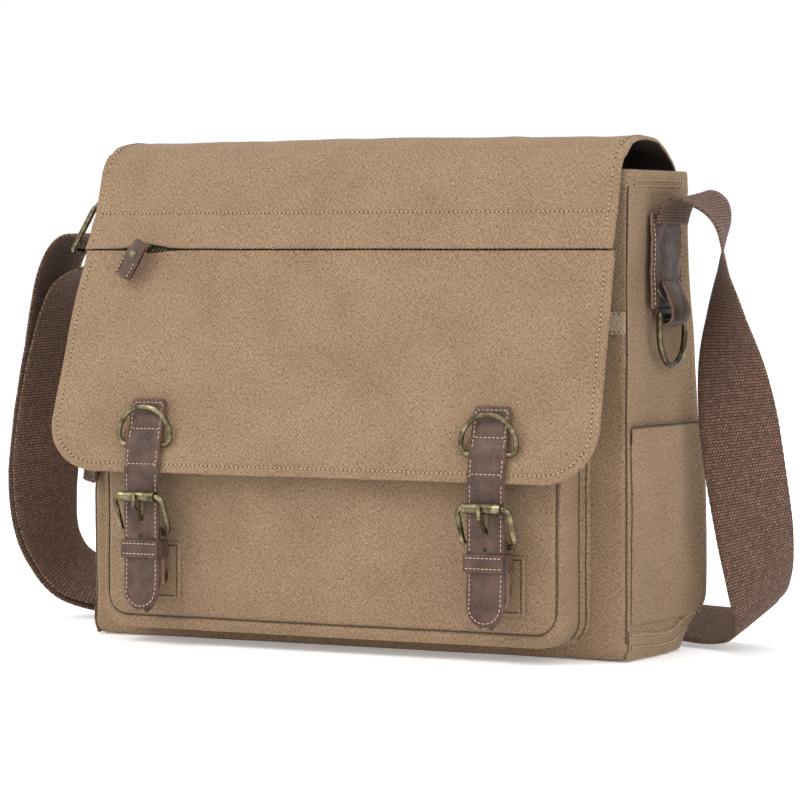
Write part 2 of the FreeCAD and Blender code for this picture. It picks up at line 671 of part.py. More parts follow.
def make_adjuster(points, widths):
    """A three-bar slide on the strap behind the bag; the second ply is held by its middle bar."""
    index = RETURN_START
    centre = points[index]
    tangent = (points[index + 1] - points[index - 1]).normalize()
    across = (widths[index] - tangent * widths[index].dot(tangent)).normalize()
    normal = tangent.cross(across).normalize()
    half_width = 27.5
    bar = 1.2
    solids = []
    for along, off in ((-13, -2.9), (0, 2.9), (13, -2.9)):
        start = centre + tangent * along + normal * off - across * half_width
        end = centre + tangent * along + normal * off + across * half_width
        solids.append(rod(start, end, bar))
    for sign in (-1, 1):
        place = FreeCAD.Matrix(
            tangent.x, across.x, normal.x, centre.x, tangent.y, across.y, normal.y, centre.y,
            tangent.z, across.z, normal.z, centre.z, 0, 0, 0, 1,
        )
        cheek = block(-15, 15, sign * half_width - 1, sign * half_width + 1, -4.2, 4.2)
        cheek.transformShape(place)
        solids.append(cheek)
    save("strap_adjuster", solids[0].fuse(solids[1:]).removeSplitter())


def make_shoulder_strap():
    points, widths = strap_route()
    webbing, length, tightest = ribbon(points, widths, True)
    save("shoulder_strap", webbing)
    print("shoulder strap length", round(length), "tightest radius", round(tightest, 1))
    print("strap volume over section times length", webbing.Volume / (length * WEBBING_WIDTH * WEBBING_THICKNESS))
    second_points, second_widths = return_route(points, widths)
    second, length, tightest = ribbon(second_points, second_widths, False)
    save("strap_return", second)
    print("strap return length", round(length), "tightest radius", round(tightest, 1))
    make_adjuster(points, widths)


def main():
    os.makedirs("parts", exist_ok=True)
    make_body_panels()
    make_inner_walls()
    make_base_bands()
    make_side_pockets()
    make_front_zip()
    make_front_slider()
    make_front_pocket()
    make_flap_crest()
    make_flap_front()
    make_flap_slider()
    make_closures()
    make_right_anchor()
    make_left_anchor()
    make_shoulder_strap()


main()
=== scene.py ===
"""Looks of the canvas messenger bag: canvas, leather, brass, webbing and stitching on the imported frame.
Helpers work in millimetres in the frame's axes (+X width, front -Y, +Z up); meshes are in metres."""

import math

import bpy
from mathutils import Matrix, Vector, noise


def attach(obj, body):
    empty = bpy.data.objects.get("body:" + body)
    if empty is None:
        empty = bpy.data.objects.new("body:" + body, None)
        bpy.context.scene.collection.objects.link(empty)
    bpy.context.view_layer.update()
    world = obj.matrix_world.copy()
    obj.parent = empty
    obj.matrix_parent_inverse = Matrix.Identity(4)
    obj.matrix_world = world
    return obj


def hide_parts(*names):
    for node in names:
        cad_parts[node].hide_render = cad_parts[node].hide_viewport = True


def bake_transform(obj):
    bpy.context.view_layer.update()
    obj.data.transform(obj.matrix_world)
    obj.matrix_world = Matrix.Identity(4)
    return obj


MM = 0.001
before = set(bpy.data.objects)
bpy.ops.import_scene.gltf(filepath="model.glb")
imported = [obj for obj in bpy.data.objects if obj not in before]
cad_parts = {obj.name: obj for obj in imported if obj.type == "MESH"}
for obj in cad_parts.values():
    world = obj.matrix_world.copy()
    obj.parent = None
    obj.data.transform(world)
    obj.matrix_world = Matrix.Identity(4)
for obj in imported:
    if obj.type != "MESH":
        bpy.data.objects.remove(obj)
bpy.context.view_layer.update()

# ---- driving sizes, the same as in the CAD ----------------------------------------------------
BODY_HALF = 189.0
BODY_TOP = 299.0
BODY_FRONT = -50.0
BODY_BACK = 48.0
FRONT_RADIUS = 5.0
REAR_RADIUS = 16.0
POCKET_HALF = 160.0
POCKET_FRONT = -85.0
FLAP_HALF = 190.0
FLAP_TOP_HALF = 187.0
FLAP_LENGTH = 195.0
FLAP_CORNER = 35.0
HEM = 5.2
LEAN = math.radians(13.6)
CLOSURES = (("left", -120.0), ("right", 120.0))
WEBBING_HALF = 25.0


# ---- mesh helpers -----------------------------------------------------------------------------
def smoothstep(low, high, value):
    t = min(max((value - low) / (high - low), 0.0), 1.0)
    return t * t * (3 - 2 * t)


def bump(value, centre, width):
    return math.exp(-(((value - centre) / width) ** 2))


def ripple(x, y, z, scale, seed=0.0):
    """Smooth noise from -1 to 1 that changes over `scale` millimetres."""
    return noise.noise(Vector((x / scale + seed, y / scale - seed, z / scale + 2 * seed)))


def spread(low, high, step, extra=()):
    """Evenly spaced values from low to high, with some extra ones put in."""
    count = max(1, round((high - low) / step))
    values = {round(low + (high - low) * i / count, 3) for i in range(count + 1)}
    values.update(round(v, 3) for v in extra if low < v < high)
    return sorted(values)


def build(name, verts, faces, materials, body=None, uvs=None, stands_for=(), slot=None):
    """A mesh object from points in millimetres. uvs holds one (u, v) in metres for each vertex."""
    mesh = bpy.data.meshes.new(name)
    mesh.from_pydata([tuple(c * MM for c in v) for v in verts], [], faces)
    mesh.validate()
    if uvs:
        layer = mesh.uv_layers.new(name="UVMap")
        for loop in mesh.loops:
            layer.data[loop.index].uv = uvs[loop.vertex_index]
    for polygon in mesh.polygons:
        polygon.use_smooth = True
    piece = bpy.data.objects.new(name, mesh)
    bpy.context.scene.collection.objects.link(piece)
    for material in materials if isinstance(materials, (list, tuple)) else [materials]:
        mesh.materials.append(material)
    if body:
        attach(piece, body)
    if stands_for:
        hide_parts(*stands_for)
    return piece


def thicken(piece, thickness, inside=0, offset=-1.0):
    """Gives a sheet its thickness, its back in material number `inside`, and rounds its edges."""
    solid = piece.modifiers.new("thickness", "SOLIDIFY")
    solid.thickness = thickness * MM
    solid.offset = offset
    solid.material_offset = inside
    solid.use_even_offset = False
    smooth = piece.modifiers.new("rounding", "SUBSURF")
    smooth.levels = 1
    smooth.render_levels = 1


def freeze(piece):
    """Applies the modifiers, so that the mesh is final."""
    depsgraph = bpy.context.evaluated_depsgraph_get()
    mesh = bpy.data.meshes.new_from_object(piece.evaluated_get(depsgraph))
    piece.modifiers.clear()
    piece.data = mesh
    return piece


def grid_faces(row, rows):
    """The quads of a grid that has `row` points in each of its rows."""
    starts = [j * row + i for j in range(rows - 1) for i in range(row - 1)]
    return [(a, a + 1, a + row + 1, a + row) for a in starts]


def sheet(name, surface, us, vs, materials, thickness, inside=0, offset=-1.0, flip=False, **kind):
    """A sheet of cloth or leather: surface(u, v) gives points in millimetres over a grid."""
    verts = [surface(u, v) for v in vs for u in us]
    uvs = [(u * MM, v * MM) for v in vs for u in us]
    faces = grid_faces(len(us), len(vs))
    if flip:
        faces = [quad[::-1] for quad in faces]
    piece = build(name, verts, faces, materials, uvs=uvs, **kind)
    thicken(piece, thickness, inside, offset)
    return piece


class Strands:
    """Collects many small pieces, such as stitches, into one mesh."""

    def __init__(self, name, material, body, slot):
        self.name = name
        self.material = material
        self.body = body
        self.slot = slot
        self.verts = []
        self.faces = []

    def lens(self, centre, along, up, length, width, height):
        """A small rounded lump lying on a surface: a stitch, or a dark lump of painted shade for a needle
        hole.
        """
        side = along.cross(up).normalized()
        first = len(self.verts)
        rings = ((-0.5, 0.25), (-0.34, 0.85), (0.0, 1.0), (0.34, 0.85), (0.5, 0.25))
        for place, size in rings:
            for k in range(6):
                angle = math.pi * k / 3
                offset = side * (math.cos(angle) * width * size / 2)
                lift = up * (math.sin(angle) * height * size)
                self.verts.append(centre + along * (place * length) + offset + lift)
        for j in range(len(rings) - 1):
            for k in range(6):
                a = first + 6 * j + k
                b = first + 6 * j + (k + 1) % 6
                self.faces.append((a, b, b + 6, a + 6))
        self.faces.append(tuple(first + k for k in reversed(range(6))))
        last = first + 6 * (len(rings) - 1)
        self.faces.append(tuple(last + k for k in range(6)))

    def finish(self):
        build(self.name, self.verts, self.faces, self.material, self.body, slot=self.slot)


def resample(points, pitch):
    """(point, direction) at every pitch along a polyline."""
    found = []
    carried = pitch / 2
    for a, b in zip(points, points[1:]):
        step = b - a
        length = step.length
        if length < 1e-6:
            continue
        along = step / length
        while carried <= length:
            found.append((a + along * carried, along))
            carried += pitch
        carried -= length
    return found


THREADS = {}


def thread(body, colour):
    key = (body, colour)
    if key not in THREADS:
        slot = "canvas" if colour == "canvas" else "leather"
        THREADS[key] = Strands("thread_" + colour + "_" + body, MATERIALS["thread_" + colour], body, slot)
    return THREADS[key]


def stitches(points, up, body, colour="canvas", pitch=3.1, length=2.3, width=0.8, lift=0.15):
    """A row of stitches along the points, each with a dark lump of painted shade for its needle hole. `up` is
    the surface's normal.
    """
    hole_shades = thread(body, "hole")
    threads = thread(body, colour)
    for centre, along in resample(points, pitch):
        normal = Vector(up)
        normal = (normal - along * normal.dot(along)).normalized()
        seed = ripple(centre.x, centre.y, centre.z, 2.7, 3.0)
        threads.lens(centre + normal * lift, along, normal, length * (1 + 0.15 * seed), width, 0.42)
        # The dark lump at the start of each stitch is painted shade for its needle hole.
        start = centre - along * (pitch / 2) + normal * (lift * 0.3)
        hole_shades.lens(start, along, normal, 1.3, 0.95, 0.2)


# ---- materials ----------------------------------------------------------------------------------
def shader(name, roughness, **inputs):
    material = bpy.data.materials.new(name)
    material.use_nodes = True
    principled = material.node_tree.nodes["Principled BSDF"]
    principled.inputs["Roughness"].default_value = roughness
    for key, value in inputs.items():
        principled.inputs[key.replace("_", " ")].default_value = value
    return material, material.node_tree, principled


def add(tree, kind, **inputs):
    node = tree.nodes.new(kind)
    for key, value in inputs.items():
        node.inputs[key.replace("_", " ")].default_value = value
    return node


def ramp(tree, source, stops):
    node = tree.nodes.new("ShaderNodeValToRGB")
    elements = node.color_ramp.elements
    while len(elements) < len(stops):
        elements.new(0.5)
    for element, (place, colour) in zip(elements, stops):
        element.position = place
        element.color = (*colour, 1.0)
    tree.links.new(source, node.inputs["Fac"])
    return node.outputs["Color"]


def mapped(tree, coordinate="Object", scale=(1, 1, 1)):
    source = tree.nodes.new("ShaderNodeTexCoord")
    mapping = tree.nodes.new("ShaderNodeMapping")
    mapping.inputs["Scale"].default_value = scale
    tree.links.new(source.outputs[coordinate], mapping.inputs["Vector"])
    return mapping.outputs["Vector"]


def noise_value(tree, vector, scale, detail=3.0, roughness=0.6):
    node = add(tree, "ShaderNodeTexNoise", Scale=scale, Detail=detail, Roughness=roughness)
    tree.links.new(vector, node.inputs["Vector"])
    return node.outputs["Fac"]


def multiply(tree, factor, first, second):
    """The first colour multiplied by the second, as strongly as the factor says."""
    node = tree.nodes.new("ShaderNodeMix")
    node.data_type = "RGBA"
    node.blend_type = "MULTIPLY"
    sockets = {socket.name: socket for socket in node.inputs if socket.enabled}
    sockets["Factor"].default_value = factor
    tree.links.new(first, sockets["A"])
    tree.links.new(second, sockets["B"])
    return [socket for socket in node.outputs if socket.enabled][0]


def math_node(tree, operation, first, second):
    node = tree.nodes.new("ShaderNodeMath")
    node.operation = operation
    for socket, value in zip(node.inputs, (first, second)):
        if isinstance(value, (int, float)):
            socket.default_value = value
        else:
            tree.links.new(value, socket)
    return node.outputs[0]


def surface_relief(tree, principled, height, strength, distance):
    node = add(tree, "ShaderNodeBump", Strength=strength, Distance=distance * MM)
    tree.links.new(height, node.inputs["Height"])
    tree.links.new(node.outputs["Normal"], principled.inputs["Normal"])


def canvas_material(name, light, dark):
    """Washed canvas: a fine twill of pale and dark yarns, faded in soft patches."""
    material, tree, principled = shader(
        name, 0.92, Specular_IOR_Level=0.15, Sheen_Weight=0.06, Sheen_Roughness=0.5
    )
    space = mapped(tree)
    yarn_u = noise_value(tree, mapped(tree, "UV", (560, 1700, 1)), 1.0, 2.0)
    yarn_v = noise_value(tree, mapped(tree, "UV", (1700, 560, 1)), 1.0, 2.0)
    yarns = math_node(tree, "ADD", yarn_u, yarn_v)
    yarns = math_node(tree, "MULTIPLY", yarns, 0.5)
    wave = add(tree, "ShaderNodeTexWave", Scale=1.0, Distortion=1.5, Detail=1.0)
    wave.bands_direction = "DIAGONAL"
    tree.links.new(mapped(tree, "UV", (240, 240, 1)), wave.inputs["Vector"])
    brightest = tuple(c * 1.35 for c in light)
    tone = ramp(tree, yarns, [(0.34, dark), (0.52, light), (0.68, brightest)])
    patches = noise_value(tree, space, 28.0, 4.0)
    shade = ramp(tree, patches, [(0.3, (0.88, 0.865, 0.85)), (0.7, (1.06, 1.06, 1.06))])
    tone = multiply(tree, 1.0, tone, shade)
    speckle = noise_value(tree, space, 800.0, 2.0, 0.7)
    stops = [(0.30, (0.72, 0.70, 0.68)), (0.5, (1, 1, 1)), (0.72, (1.18, 1.16, 1.12))]
    tone = multiply(tree, 0.75, tone, ramp(tree, speckle, stops))
    twill = ramp(tree, wave.outputs["Fac"], [(0.2, (0.9, 0.9, 0.9)), (0.7, (1.05, 1.05, 1.05))])
    tone = multiply(tree, 0.8, tone, twill)
    tree.links.new(tone, principled.inputs["Base Color"])
    height = math_node(tree, "ADD", yarns, math_node(tree, "MULTIPLY", wave.outputs["Fac"], 0.5))
    surface_relief(tree, principled, height, 0.55, 0.5)
    return material


def leather_material(name, dark, light):
    """Oiled leather: cloudy wear, fine grain and scuffs."""
    material, tree, principled = shader(name, 0.52, Specular_IOR_Level=0.4)
    space = mapped(tree)
    clouds = noise_value(tree, space, 75.0, 5.0, 0.65)
    middle = tuple((a + b) / 2 for a, b in zip(dark, light))
    tone = ramp(tree, clouds, [(0.32, dark), (0.52, middle), (0.72, light)])
    scuffs = noise_value(tree, mapped(tree, "Object", (1, 1, 0.3)), 310.0, 4.0, 0.75)
    marks = ramp(tree, scuffs, [(0.4, (0.75, 0.73, 0.72)), (0.62, (1, 1, 1)), (0.74, (1.5, 1.45, 1.4))])
    tone = multiply(tree, 0.8, tone, marks)
    tree.links.new(tone, principled.inputs["Base Color"])
    grain = add(tree, "ShaderNodeTexVoronoi", Scale=900.0)
    tree.links.new(space, grain.inputs["Vector"])
    height = math_node(tree, "ADD", grain.outputs["Distance"], scuffs)
    surface_relief(tree, principled, height, 0.35, 0.35)
    gloss = ramp(tree, clouds, [(0.35, (0.62, 0.62, 0.62)), (0.7, (0.42, 0.42, 0.42))])
    tree.links.new(gloss, principled.inputs["Roughness"])
    return material


def brass_material(name):
    """Antique brass: dark in its hollows, rubbed bright in patches."""
    material, tree, principled = shader(name, 0.34, Metallic=1.0)
    wear = noise_value(tree, mapped(tree), 160.0, 4.0, 0.65)
    stops = [(0.34, (0.06, 0.05, 0.028)), (0.52, (0.17, 0.14, 0.08)), (0.72, (0.40, 0.34, 0.20))]
    tree.links.new(ramp(tree, wear, stops), principled.inputs["Base Color"])
    gloss = ramp(tree, wear, [(0.3, (0.5, 0.5, 0.5)), (0.7, (0.24, 0.24, 0.24))])
    tree.links.new(gloss, principled.inputs["Roughness"])
    surface_relief(tree, principled, wear, 0.12, 0.3)
    return material


def webbing_material(name):
    """Dark woven webbing: ribs across it, broken by the pale dots of its binding yarns."""
    material, tree, principled = shader(name, 0.85, Specular_IOR_Level=0.2, Sheen_Weight=0.05)
    checks = add(
        tree, "ShaderNodeTexBrick", Scale=1.0, Mortar_Size=0.16, Mortar_Smooth=0.6, Bias=0.0,
        Brick_Width=1.0, Row_Height=1.0, Color1=(0.205, 0.115, 0.080, 1),
        Color2=(0.130, 0.073, 0.051, 1), Mortar=(0.030, 0.019, 0.014, 1),
    )
    tree.links.new(mapped(tree, "UV", (520, 520, 1)), checks.inputs["Vector"])
    fuzz = noise_value(tree, mapped(tree), 700.0, 2.0)
    shade = ramp(tree, fuzz, [(0.3, (0.7, 0.7, 0.7)), (0.5, (1, 1, 1)), (0.7, (1.7, 1.65, 1.6))])
    tone = multiply(tree, 0.8, checks.outputs["Color"], shade)
    tree.links.new(tone, principled.inputs["Base Color"])
    lumps = math_node(tree, "SUBTRACT", 1.0, checks.outputs["Fac"])
    surface_relief(tree, principled, lumps, 0.7, 0.7)
    return material


def plain_material(name, low, high, scale, roughness, strength=0.2):
    """A finish with fine mottling, for thread, lining and raw edges."""
    material, tree, principled = shader(name, roughness, Specular_IOR_Level=0.2)
    value = noise_value(tree, mapped(tree), scale, 3.0)
    tree.links.new(ramp(tree, value, [(0.35, low), (0.65, high)]), principled.inputs["Base Color"])
    surface_relief(tree, principled, value, strength, 0.3)
    return material


MATERIALS = {
    "canvas": canvas_material("washed_canvas", (0.285, 0.192, 0.118), (0.090, 0.058, 0.036)),
    "canvas_pale": canvas_material("faded_canvas", (0.42, 0.32, 0.21), (0.23, 0.165, 0.10)),
    "lining": plain_material("dark_lining", (0.030, 0.022, 0.017), (0.055, 0.042, 0.033), 500.0, 0.9),
    "leather": leather_material("oiled_leather", (0.045, 0.023, 0.016), (0.125, 0.068, 0.046)),
    "raw_edge": plain_material("raw_leather_edge", (0.15, 0.075, 0.050), (0.27, 0.155, 0.11), 600.0, 0.8),
    "brass": brass_material("antique_brass"),
    "webbing": webbing_material("woven_webbing"),
    "zip_tape": plain_material("zip_tape", (0.035, 0.024, 0.016), (0.065, 0.045, 0.03), 900.0, 0.9, 0.5),
    "board": plain_material("base_stiffener", (0.02, 0.02, 0.02), (0.04, 0.04, 0.04), 300.0, 0.7),
    "thread_canvas": plain_material("pale_thread", (0.33, 0.25, 0.15), (0.50, 0.40, 0.26), 900.0, 0.8),
    "thread_leather": plain_material("beige_thread", (0.38, 0.24, 0.18), (0.56, 0.39, 0.30), 900.0, 0.8),
    "thread_dark": plain_material("brown_thread", (0.05, 0.03, 0.02), (0.10, 0.065, 0.045), 900.0, 0.8),
    # Needle holes: dark lumps of painted shade where the thread goes through.
    "thread_hole": plain_material("needle_hole_painted_shade", (0.035, 0.022, 0.014), (0.055, 0.035, 0.022), 900.0, 0.95),
}
CANVAS = [MATERIALS["canvas"], MATERIALS["lining"]]
LINING = [MATERIALS["lining"]]
LEATHER = [MATERIALS["leather"], MATERIALS["raw_edge"]]


# ---- canvas and leather pieces ------------------------------------------------------------------
FRONT = Vector((0.0, -1.0, 0.0))
LEATHER_PITCH = 2.9


def bag_sheet(name, surface, us, vs, materials, thickness, inside, stands_for, slot="canvas", **kind):
    """A sheet of the bag's own body."""
    return sheet(
        name, surface, us, vs, materials, thickness, inside, body="bag", stands_for=stands_for,
        slot=slot, **kind,
    )


def leather_sheet(name, surface, us, vs, thickness, body, stands_for=(), flip=False, offset=-1.0):
    """A leather piece with a dark face and a pale cut edge."""
    piece = sheet(
        name, surface, us, vs, LEATHER, thickness, 0, offset, flip=flip, body=body,
        stands_for=stands_for, slot="leather",
    )
    piece.modifiers["thickness"].material_offset_rim = 1
    return piece


def sew(points, up, body, pitch=LEATHER_PITCH):
    """A row of beige stitches through leather."""
    stitches(points, up, body, "leather", pitch)


# ---- shoulder strap -----------------------------------------------------------------------------
# The webbing's control points in metres, the compass direction of its width and its tip in degrees,
# from the right anchor round behind the bag and up to the ring on the left.
STRAP_ROUTE = [
    ((0.195, 0.004, 0.266), 90, 0), ((0.198, 0.004, 0.28), 90, 4),
    ((0.213, 0.004, 0.285), 96, 12), ((0.228, 0.005, 0.27), 106, 10),
    ((0.227, 0.007, 0.246), 119, 3), ((0.227, 0.009, 0.219), 140, 0),
    ((0.229, 0.012, 0.187), 168, 0), ((0.233, 0.016, 0.152), 192, 0),
    ((0.236, 0.022, 0.116), 207, 0), ((0.239, 0.03, 0.082), 219, -2),
    ((0.24, 0.04, 0.049), 238, -8), ((0.236, 0.053, 0.02), 262, -17),
    ((0.211, 0.069, 0.0115), 270, -20), ((0.166, 0.083, 0.013), 269, -19),
    ((0.11, 0.086, 0.014), 270, -18), ((0.054, 0.084, 0.015), 270, -18),
    ((-0.004, 0.087, 0.015), 270, -18), ((-0.062, 0.085, 0.015), 270, -18),
    ((-0.12, 0.088, 0.014), 271, -20), ((-0.173, 0.085, 0.014), 271, -22),
    ((-0.214, 0.066, 0.0155), 270, -26), ((-0.245, 0.05, 0.019), 269, -30),
    ((-0.266, 0.043, 0.026), 266, -26), ((-0.278, 0.036, 0.046), 260, -16),
    ((-0.279, 0.026, 0.076), 248, -5), ((-0.272, 0.018, 0.115), 239, 0),
    ((-0.264, 0.011, 0.16), 248, 0), ((-0.258, 0.007, 0.2), 262, 0),
    ((-0.253, 0.005, 0.23), 268, 0), ((-0.243, 0.004, 0.252), 270, 0),
    ((-0.228, 0.004, 0.262), 270, 0), ((-0.214, 0.004, 0.257), 270, 0),
    ((-0.209, 0.004, 0.245), 270, 0),
]
RETURN_START = 17
RETURN_END = 28
RETURN_TAIL = [(-0.244, 0.005, 0.222), (-0.230, 0.004, 0.235), (-0.214, 0.004, 0.239)]
PLY_GAP = 0.006


def width_direction(azimuth, tip):
    flat = math.cos(math.radians(tip))
    turn = math.radians(azimuth)
    return Vector((flat * math.cos(turn), flat * math.sin(turn), math.sin(math.radians(tip))))


def nurbs_line(name, points):
    """Points along one NURBS spline through the route's control points, in metres."""
    curve = bpy.data.curves.new(name, "CURVE")
    curve.dimensions = "3D"
    spline = curve.splines.new("NURBS")
    spline.points.add(len(points) - 1)
    for place, point in zip(spline.points, points):
        place.co = (*point, 1.0)
    spline.order_u = 3
    spline.use_endpoint_u = True
    spline.resolution_u = 12
    holder = bpy.data.objects.new(name, curve)
    mesh = bpy.data.meshes.new_from_object(holder)
    line = [v.co.copy() for v in mesh.vertices]
    bpy.data.objects.remove(holder)
    bpy.data.meshes.remove(mesh)
    return line


def webbing_section(half, thickness, notch):
    """The webbing's closed section: (across, up) pairs, with its woven edges rounded."""
    top = [(half * k / 5, thickness / 2) for k in range(-5, 6)]
    low = [(across, -up) for across, up in reversed(top)]
    return top + [(half + notch, 0.0)] + low + [(-half - notch, 0.0)]


def webbing(name, points, widths, stands_for):
    line = nurbs_line(name + "_line", points)
    verts = []
    faces = []
    uvs = []
    reach = 0.0
    size = len(webbing_section(1, 1, 0))
    for index, point in enumerate(line):
        place = index / (len(line) - 1) * (len(points) - 1)
        first = min(int(place), len(points) - 2)
        width = widths[first].lerp(widths[first + 1], place - first)
        tangent = (line[min(index + 1, len(line) - 1)] - line[max(index - 1, 0)]).normalized()
        across = (width - tangent * width.dot(tangent)).normalized()
        up = tangent.cross(across).normalized()
        if index:
            reach += (point - line[index - 1]).length
        sway = 0.35 * ripple(reach * 1000, 0, 0, 22, 9.0)
        for wide, high in webbing_section(WEBBING_HALF - 0.3, 1.5, 0.35 if index % 2 else -0.1):
            cup = 0.5 * (wide / WEBBING_HALF) ** 2 + sway
            verts.append(point * 1000 + across * wide + up * (high + cup))
            uvs.append((wide * MM, reach))
    for ring in range(len(line) - 1):
        for k in range(size):
            a = ring * size + k
            b = ring * size + (k + 1) % size
            faces.append((a, b, b + size, a + size))
    faces.append(tuple(reversed(range(size))))
    faces.append(tuple(range(len(verts) - size, len(verts))))
    piece = build(
        name, verts, faces, MATERIALS["webbing"], "bag", uvs=uvs, stands_for=stands_for, slot="webbing"
    )
    return piece, line


def make_shoulder_strap():
    points = [Vector(place) for place, azimuth, tip in STRAP_ROUTE]
    widths = [width_direction(azimuth, tip) for place, azimuth, tip in STRAP_ROUTE]
    strap, line = webbing("shoulder_strap_webbing", points, widths, ["shoulder_strap"])
    moved = []
    for index in range(RETURN_START, RETURN_END):
        tangent = (points[index + 1] - points[index - 1]).normalized()
        moved.append(points[index] + tangent.cross(widths[index]).normalized() * PLY_GAP)
    tail = [Vector(place) for place in RETURN_TAIL]
    return_widths = widths[RETURN_START:RETURN_END] + [widths[-1]] * len(tail)
    second, second_line = webbing("strap_return_webbing", moved + tail, return_widths, ["strap_return"])
    tuple(line[0])
    [tuple(p) for p in line]
    tuple(second_line[-1])
    [tuple(p) for p in reversed(second_line)]


# ---- body ---------------------------------------------------------------------------------------
def slump(x, z):
    """How far the upper left of the bag leans back."""
    return 15.0 * smoothstep(-10, -187, x) * smoothstep(195, 290, z)


def plan_outline():
    """Points round the body seen from above: (x, y, normal x, normal y)."""
    corners = []
    for x, y, start, radius in (
        (BODY_HALF, BODY_FRONT, -90, FRONT_RADIUS), (BODY_HALF, BODY_BACK, 0, REAR_RADIUS),
        (-BODY_HALF, BODY_BACK, 90, REAR_RADIUS), (-BODY_HALF, BODY_FRONT, 180, FRONT_RADIUS),
    ):
        corners.append((x - math.copysign(radius, x), y - math.copysign(radius, y), start, radius))
    outline = []
    for index, (x, y, start, radius) in enumerate(corners):
        for k in range(7):
            angle = math.radians(start + 15 * k)
            nx, ny = math.cos(angle), math.sin(angle)
            outline.append((x + radius * nx, y + radius * ny, nx, ny))
        next_x, next_y, _, next_radius = corners[(index + 1) % 4]
        begin = Vector(outline[-1][:2])
        end = Vector((next_x + next_radius * nx, next_y + next_radius * ny))
        count = max(2, round((end - begin).length / 7))
        for k in range(1, count):
            p = begin.lerp(end, k / count)
            outline.append((p.x, p.y, nx, ny))
    return outline


def body_point(x, y, nx, ny, z):
    """A point of the body's outside, sagged and creased like filled canvas."""
    sideways = abs(nx)
    push = 0.0
    if ny > 0.3:
        push += 6.0 * ny * math.sin(math.pi * min(z / 290, 1.0)) * (0.55 + 0.45 * math.cos(x / 150))
        push -= 3.0 * ny * smoothstep(250, 298, z)
    full = smoothstep(8, 34, z) * (1 - 0.75 * smoothstep(70, 270, z))
    push += 11.0 * full * smoothstep(0.05, 0.6, ny) * smoothstep(0.05, 0.5, sideways)
    push += 6.0 * full * smoothstep(-15, 45, y) * smoothstep(0.6, 1.0, sideways)
    middle = 1 - min(abs(y + 1) / 48, 1) ** 2
    push += sideways * middle * (3.2 * bump(z, 60, 70) - 2.4 * bump(z, 225, 60))
    push += 1.1 * ripple(x, y, z, 42, 1.0) + 0.35 * ripple(x, y, z, 13, 4.0)
    push += sideways * 1.2 * ripple(y * 2.2, z * 0.35, x, 30, 6.0) * smoothstep(298, 240, z)
    push += 0.9 * smoothstep(283, 286, z)
    base = 9.0
    if z < base:
        push -= base - math.sqrt(max(base ** 2 - (base - z) ** 2, 0.0))
    lean = slump(x, z) * smoothstep(30, -40, y)
    return Vector((x + nx * push, y + ny * push + lean, z))


def make_body_shell():
    outline = plan_outline()
    levels = [0.6, 1.6, 3.2, 5.5, 9] + spread(14, BODY_TOP, 6, (283, 284.5, 286))
    verts = []
    uvs = []
    distance = [0.0]
    for (ax, ay, _, _), (bx, by, _, _) in zip(outline, outline[1:] + outline[:1]):
        distance.append(distance[-1] + math.hypot(bx - ax, by - ay))
    ring = outline + outline[:1]
    for z in levels:
        for index, (x, y, nx, ny) in enumerate(ring):
            verts.append(body_point(x, y, nx, ny, z))
            uvs.append((distance[index] * MM, z * MM))
    shell = build(
        "body_shell", verts, grid_faces(len(ring), len(levels)), CANVAS, "bag", uvs=uvs,
        stands_for=["front_panel", "back_panel", "gusset_left", "gusset_right"], slot="canvas",
    )
    weld = shell.modifiers.new("closed", "WELD")
    weld.merge_threshold = 0.00005
    thicken(shell, 1.8, 1)

    def base_surface(x, y):
        return Vector((x, y, 1.0 + 0.3 * ripple(x, y, 0, 40)))

    bag_sheet(
        "base_cover", base_surface, spread(-BODY_HALF + 7, BODY_HALF - 7, 9),
        spread(BODY_FRONT + 7, BODY_BACK - 7, 9), CANVAS, 0.9, 1, ["base_panel"], offset=1.0, flip=True,
    )


def side_point(sign, reach, z):
    """A point of the body's side, `reach` back along it; it follows the rounded rear corner."""
    straight = BODY_BACK - REAR_RADIUS
    angle = max(reach - straight, 0.0) / REAR_RADIUS
    nx, ny = math.cos(angle), math.sin(angle)
    x = BODY_HALF - REAR_RADIUS + REAR_RADIUS * nx
    y = min(reach, straight) + REAR_RADIUS * ny
    return body_point(sign * x, y, sign * nx, ny, z)


def side_row(sign, z, y0, y1, out=0.0, step=6.0):
    """Points across a side of the body at one height."""
    return [side_point(sign, y, z) + Vector((sign * out, 0, 0)) for y in spread(y0, y1, step)]


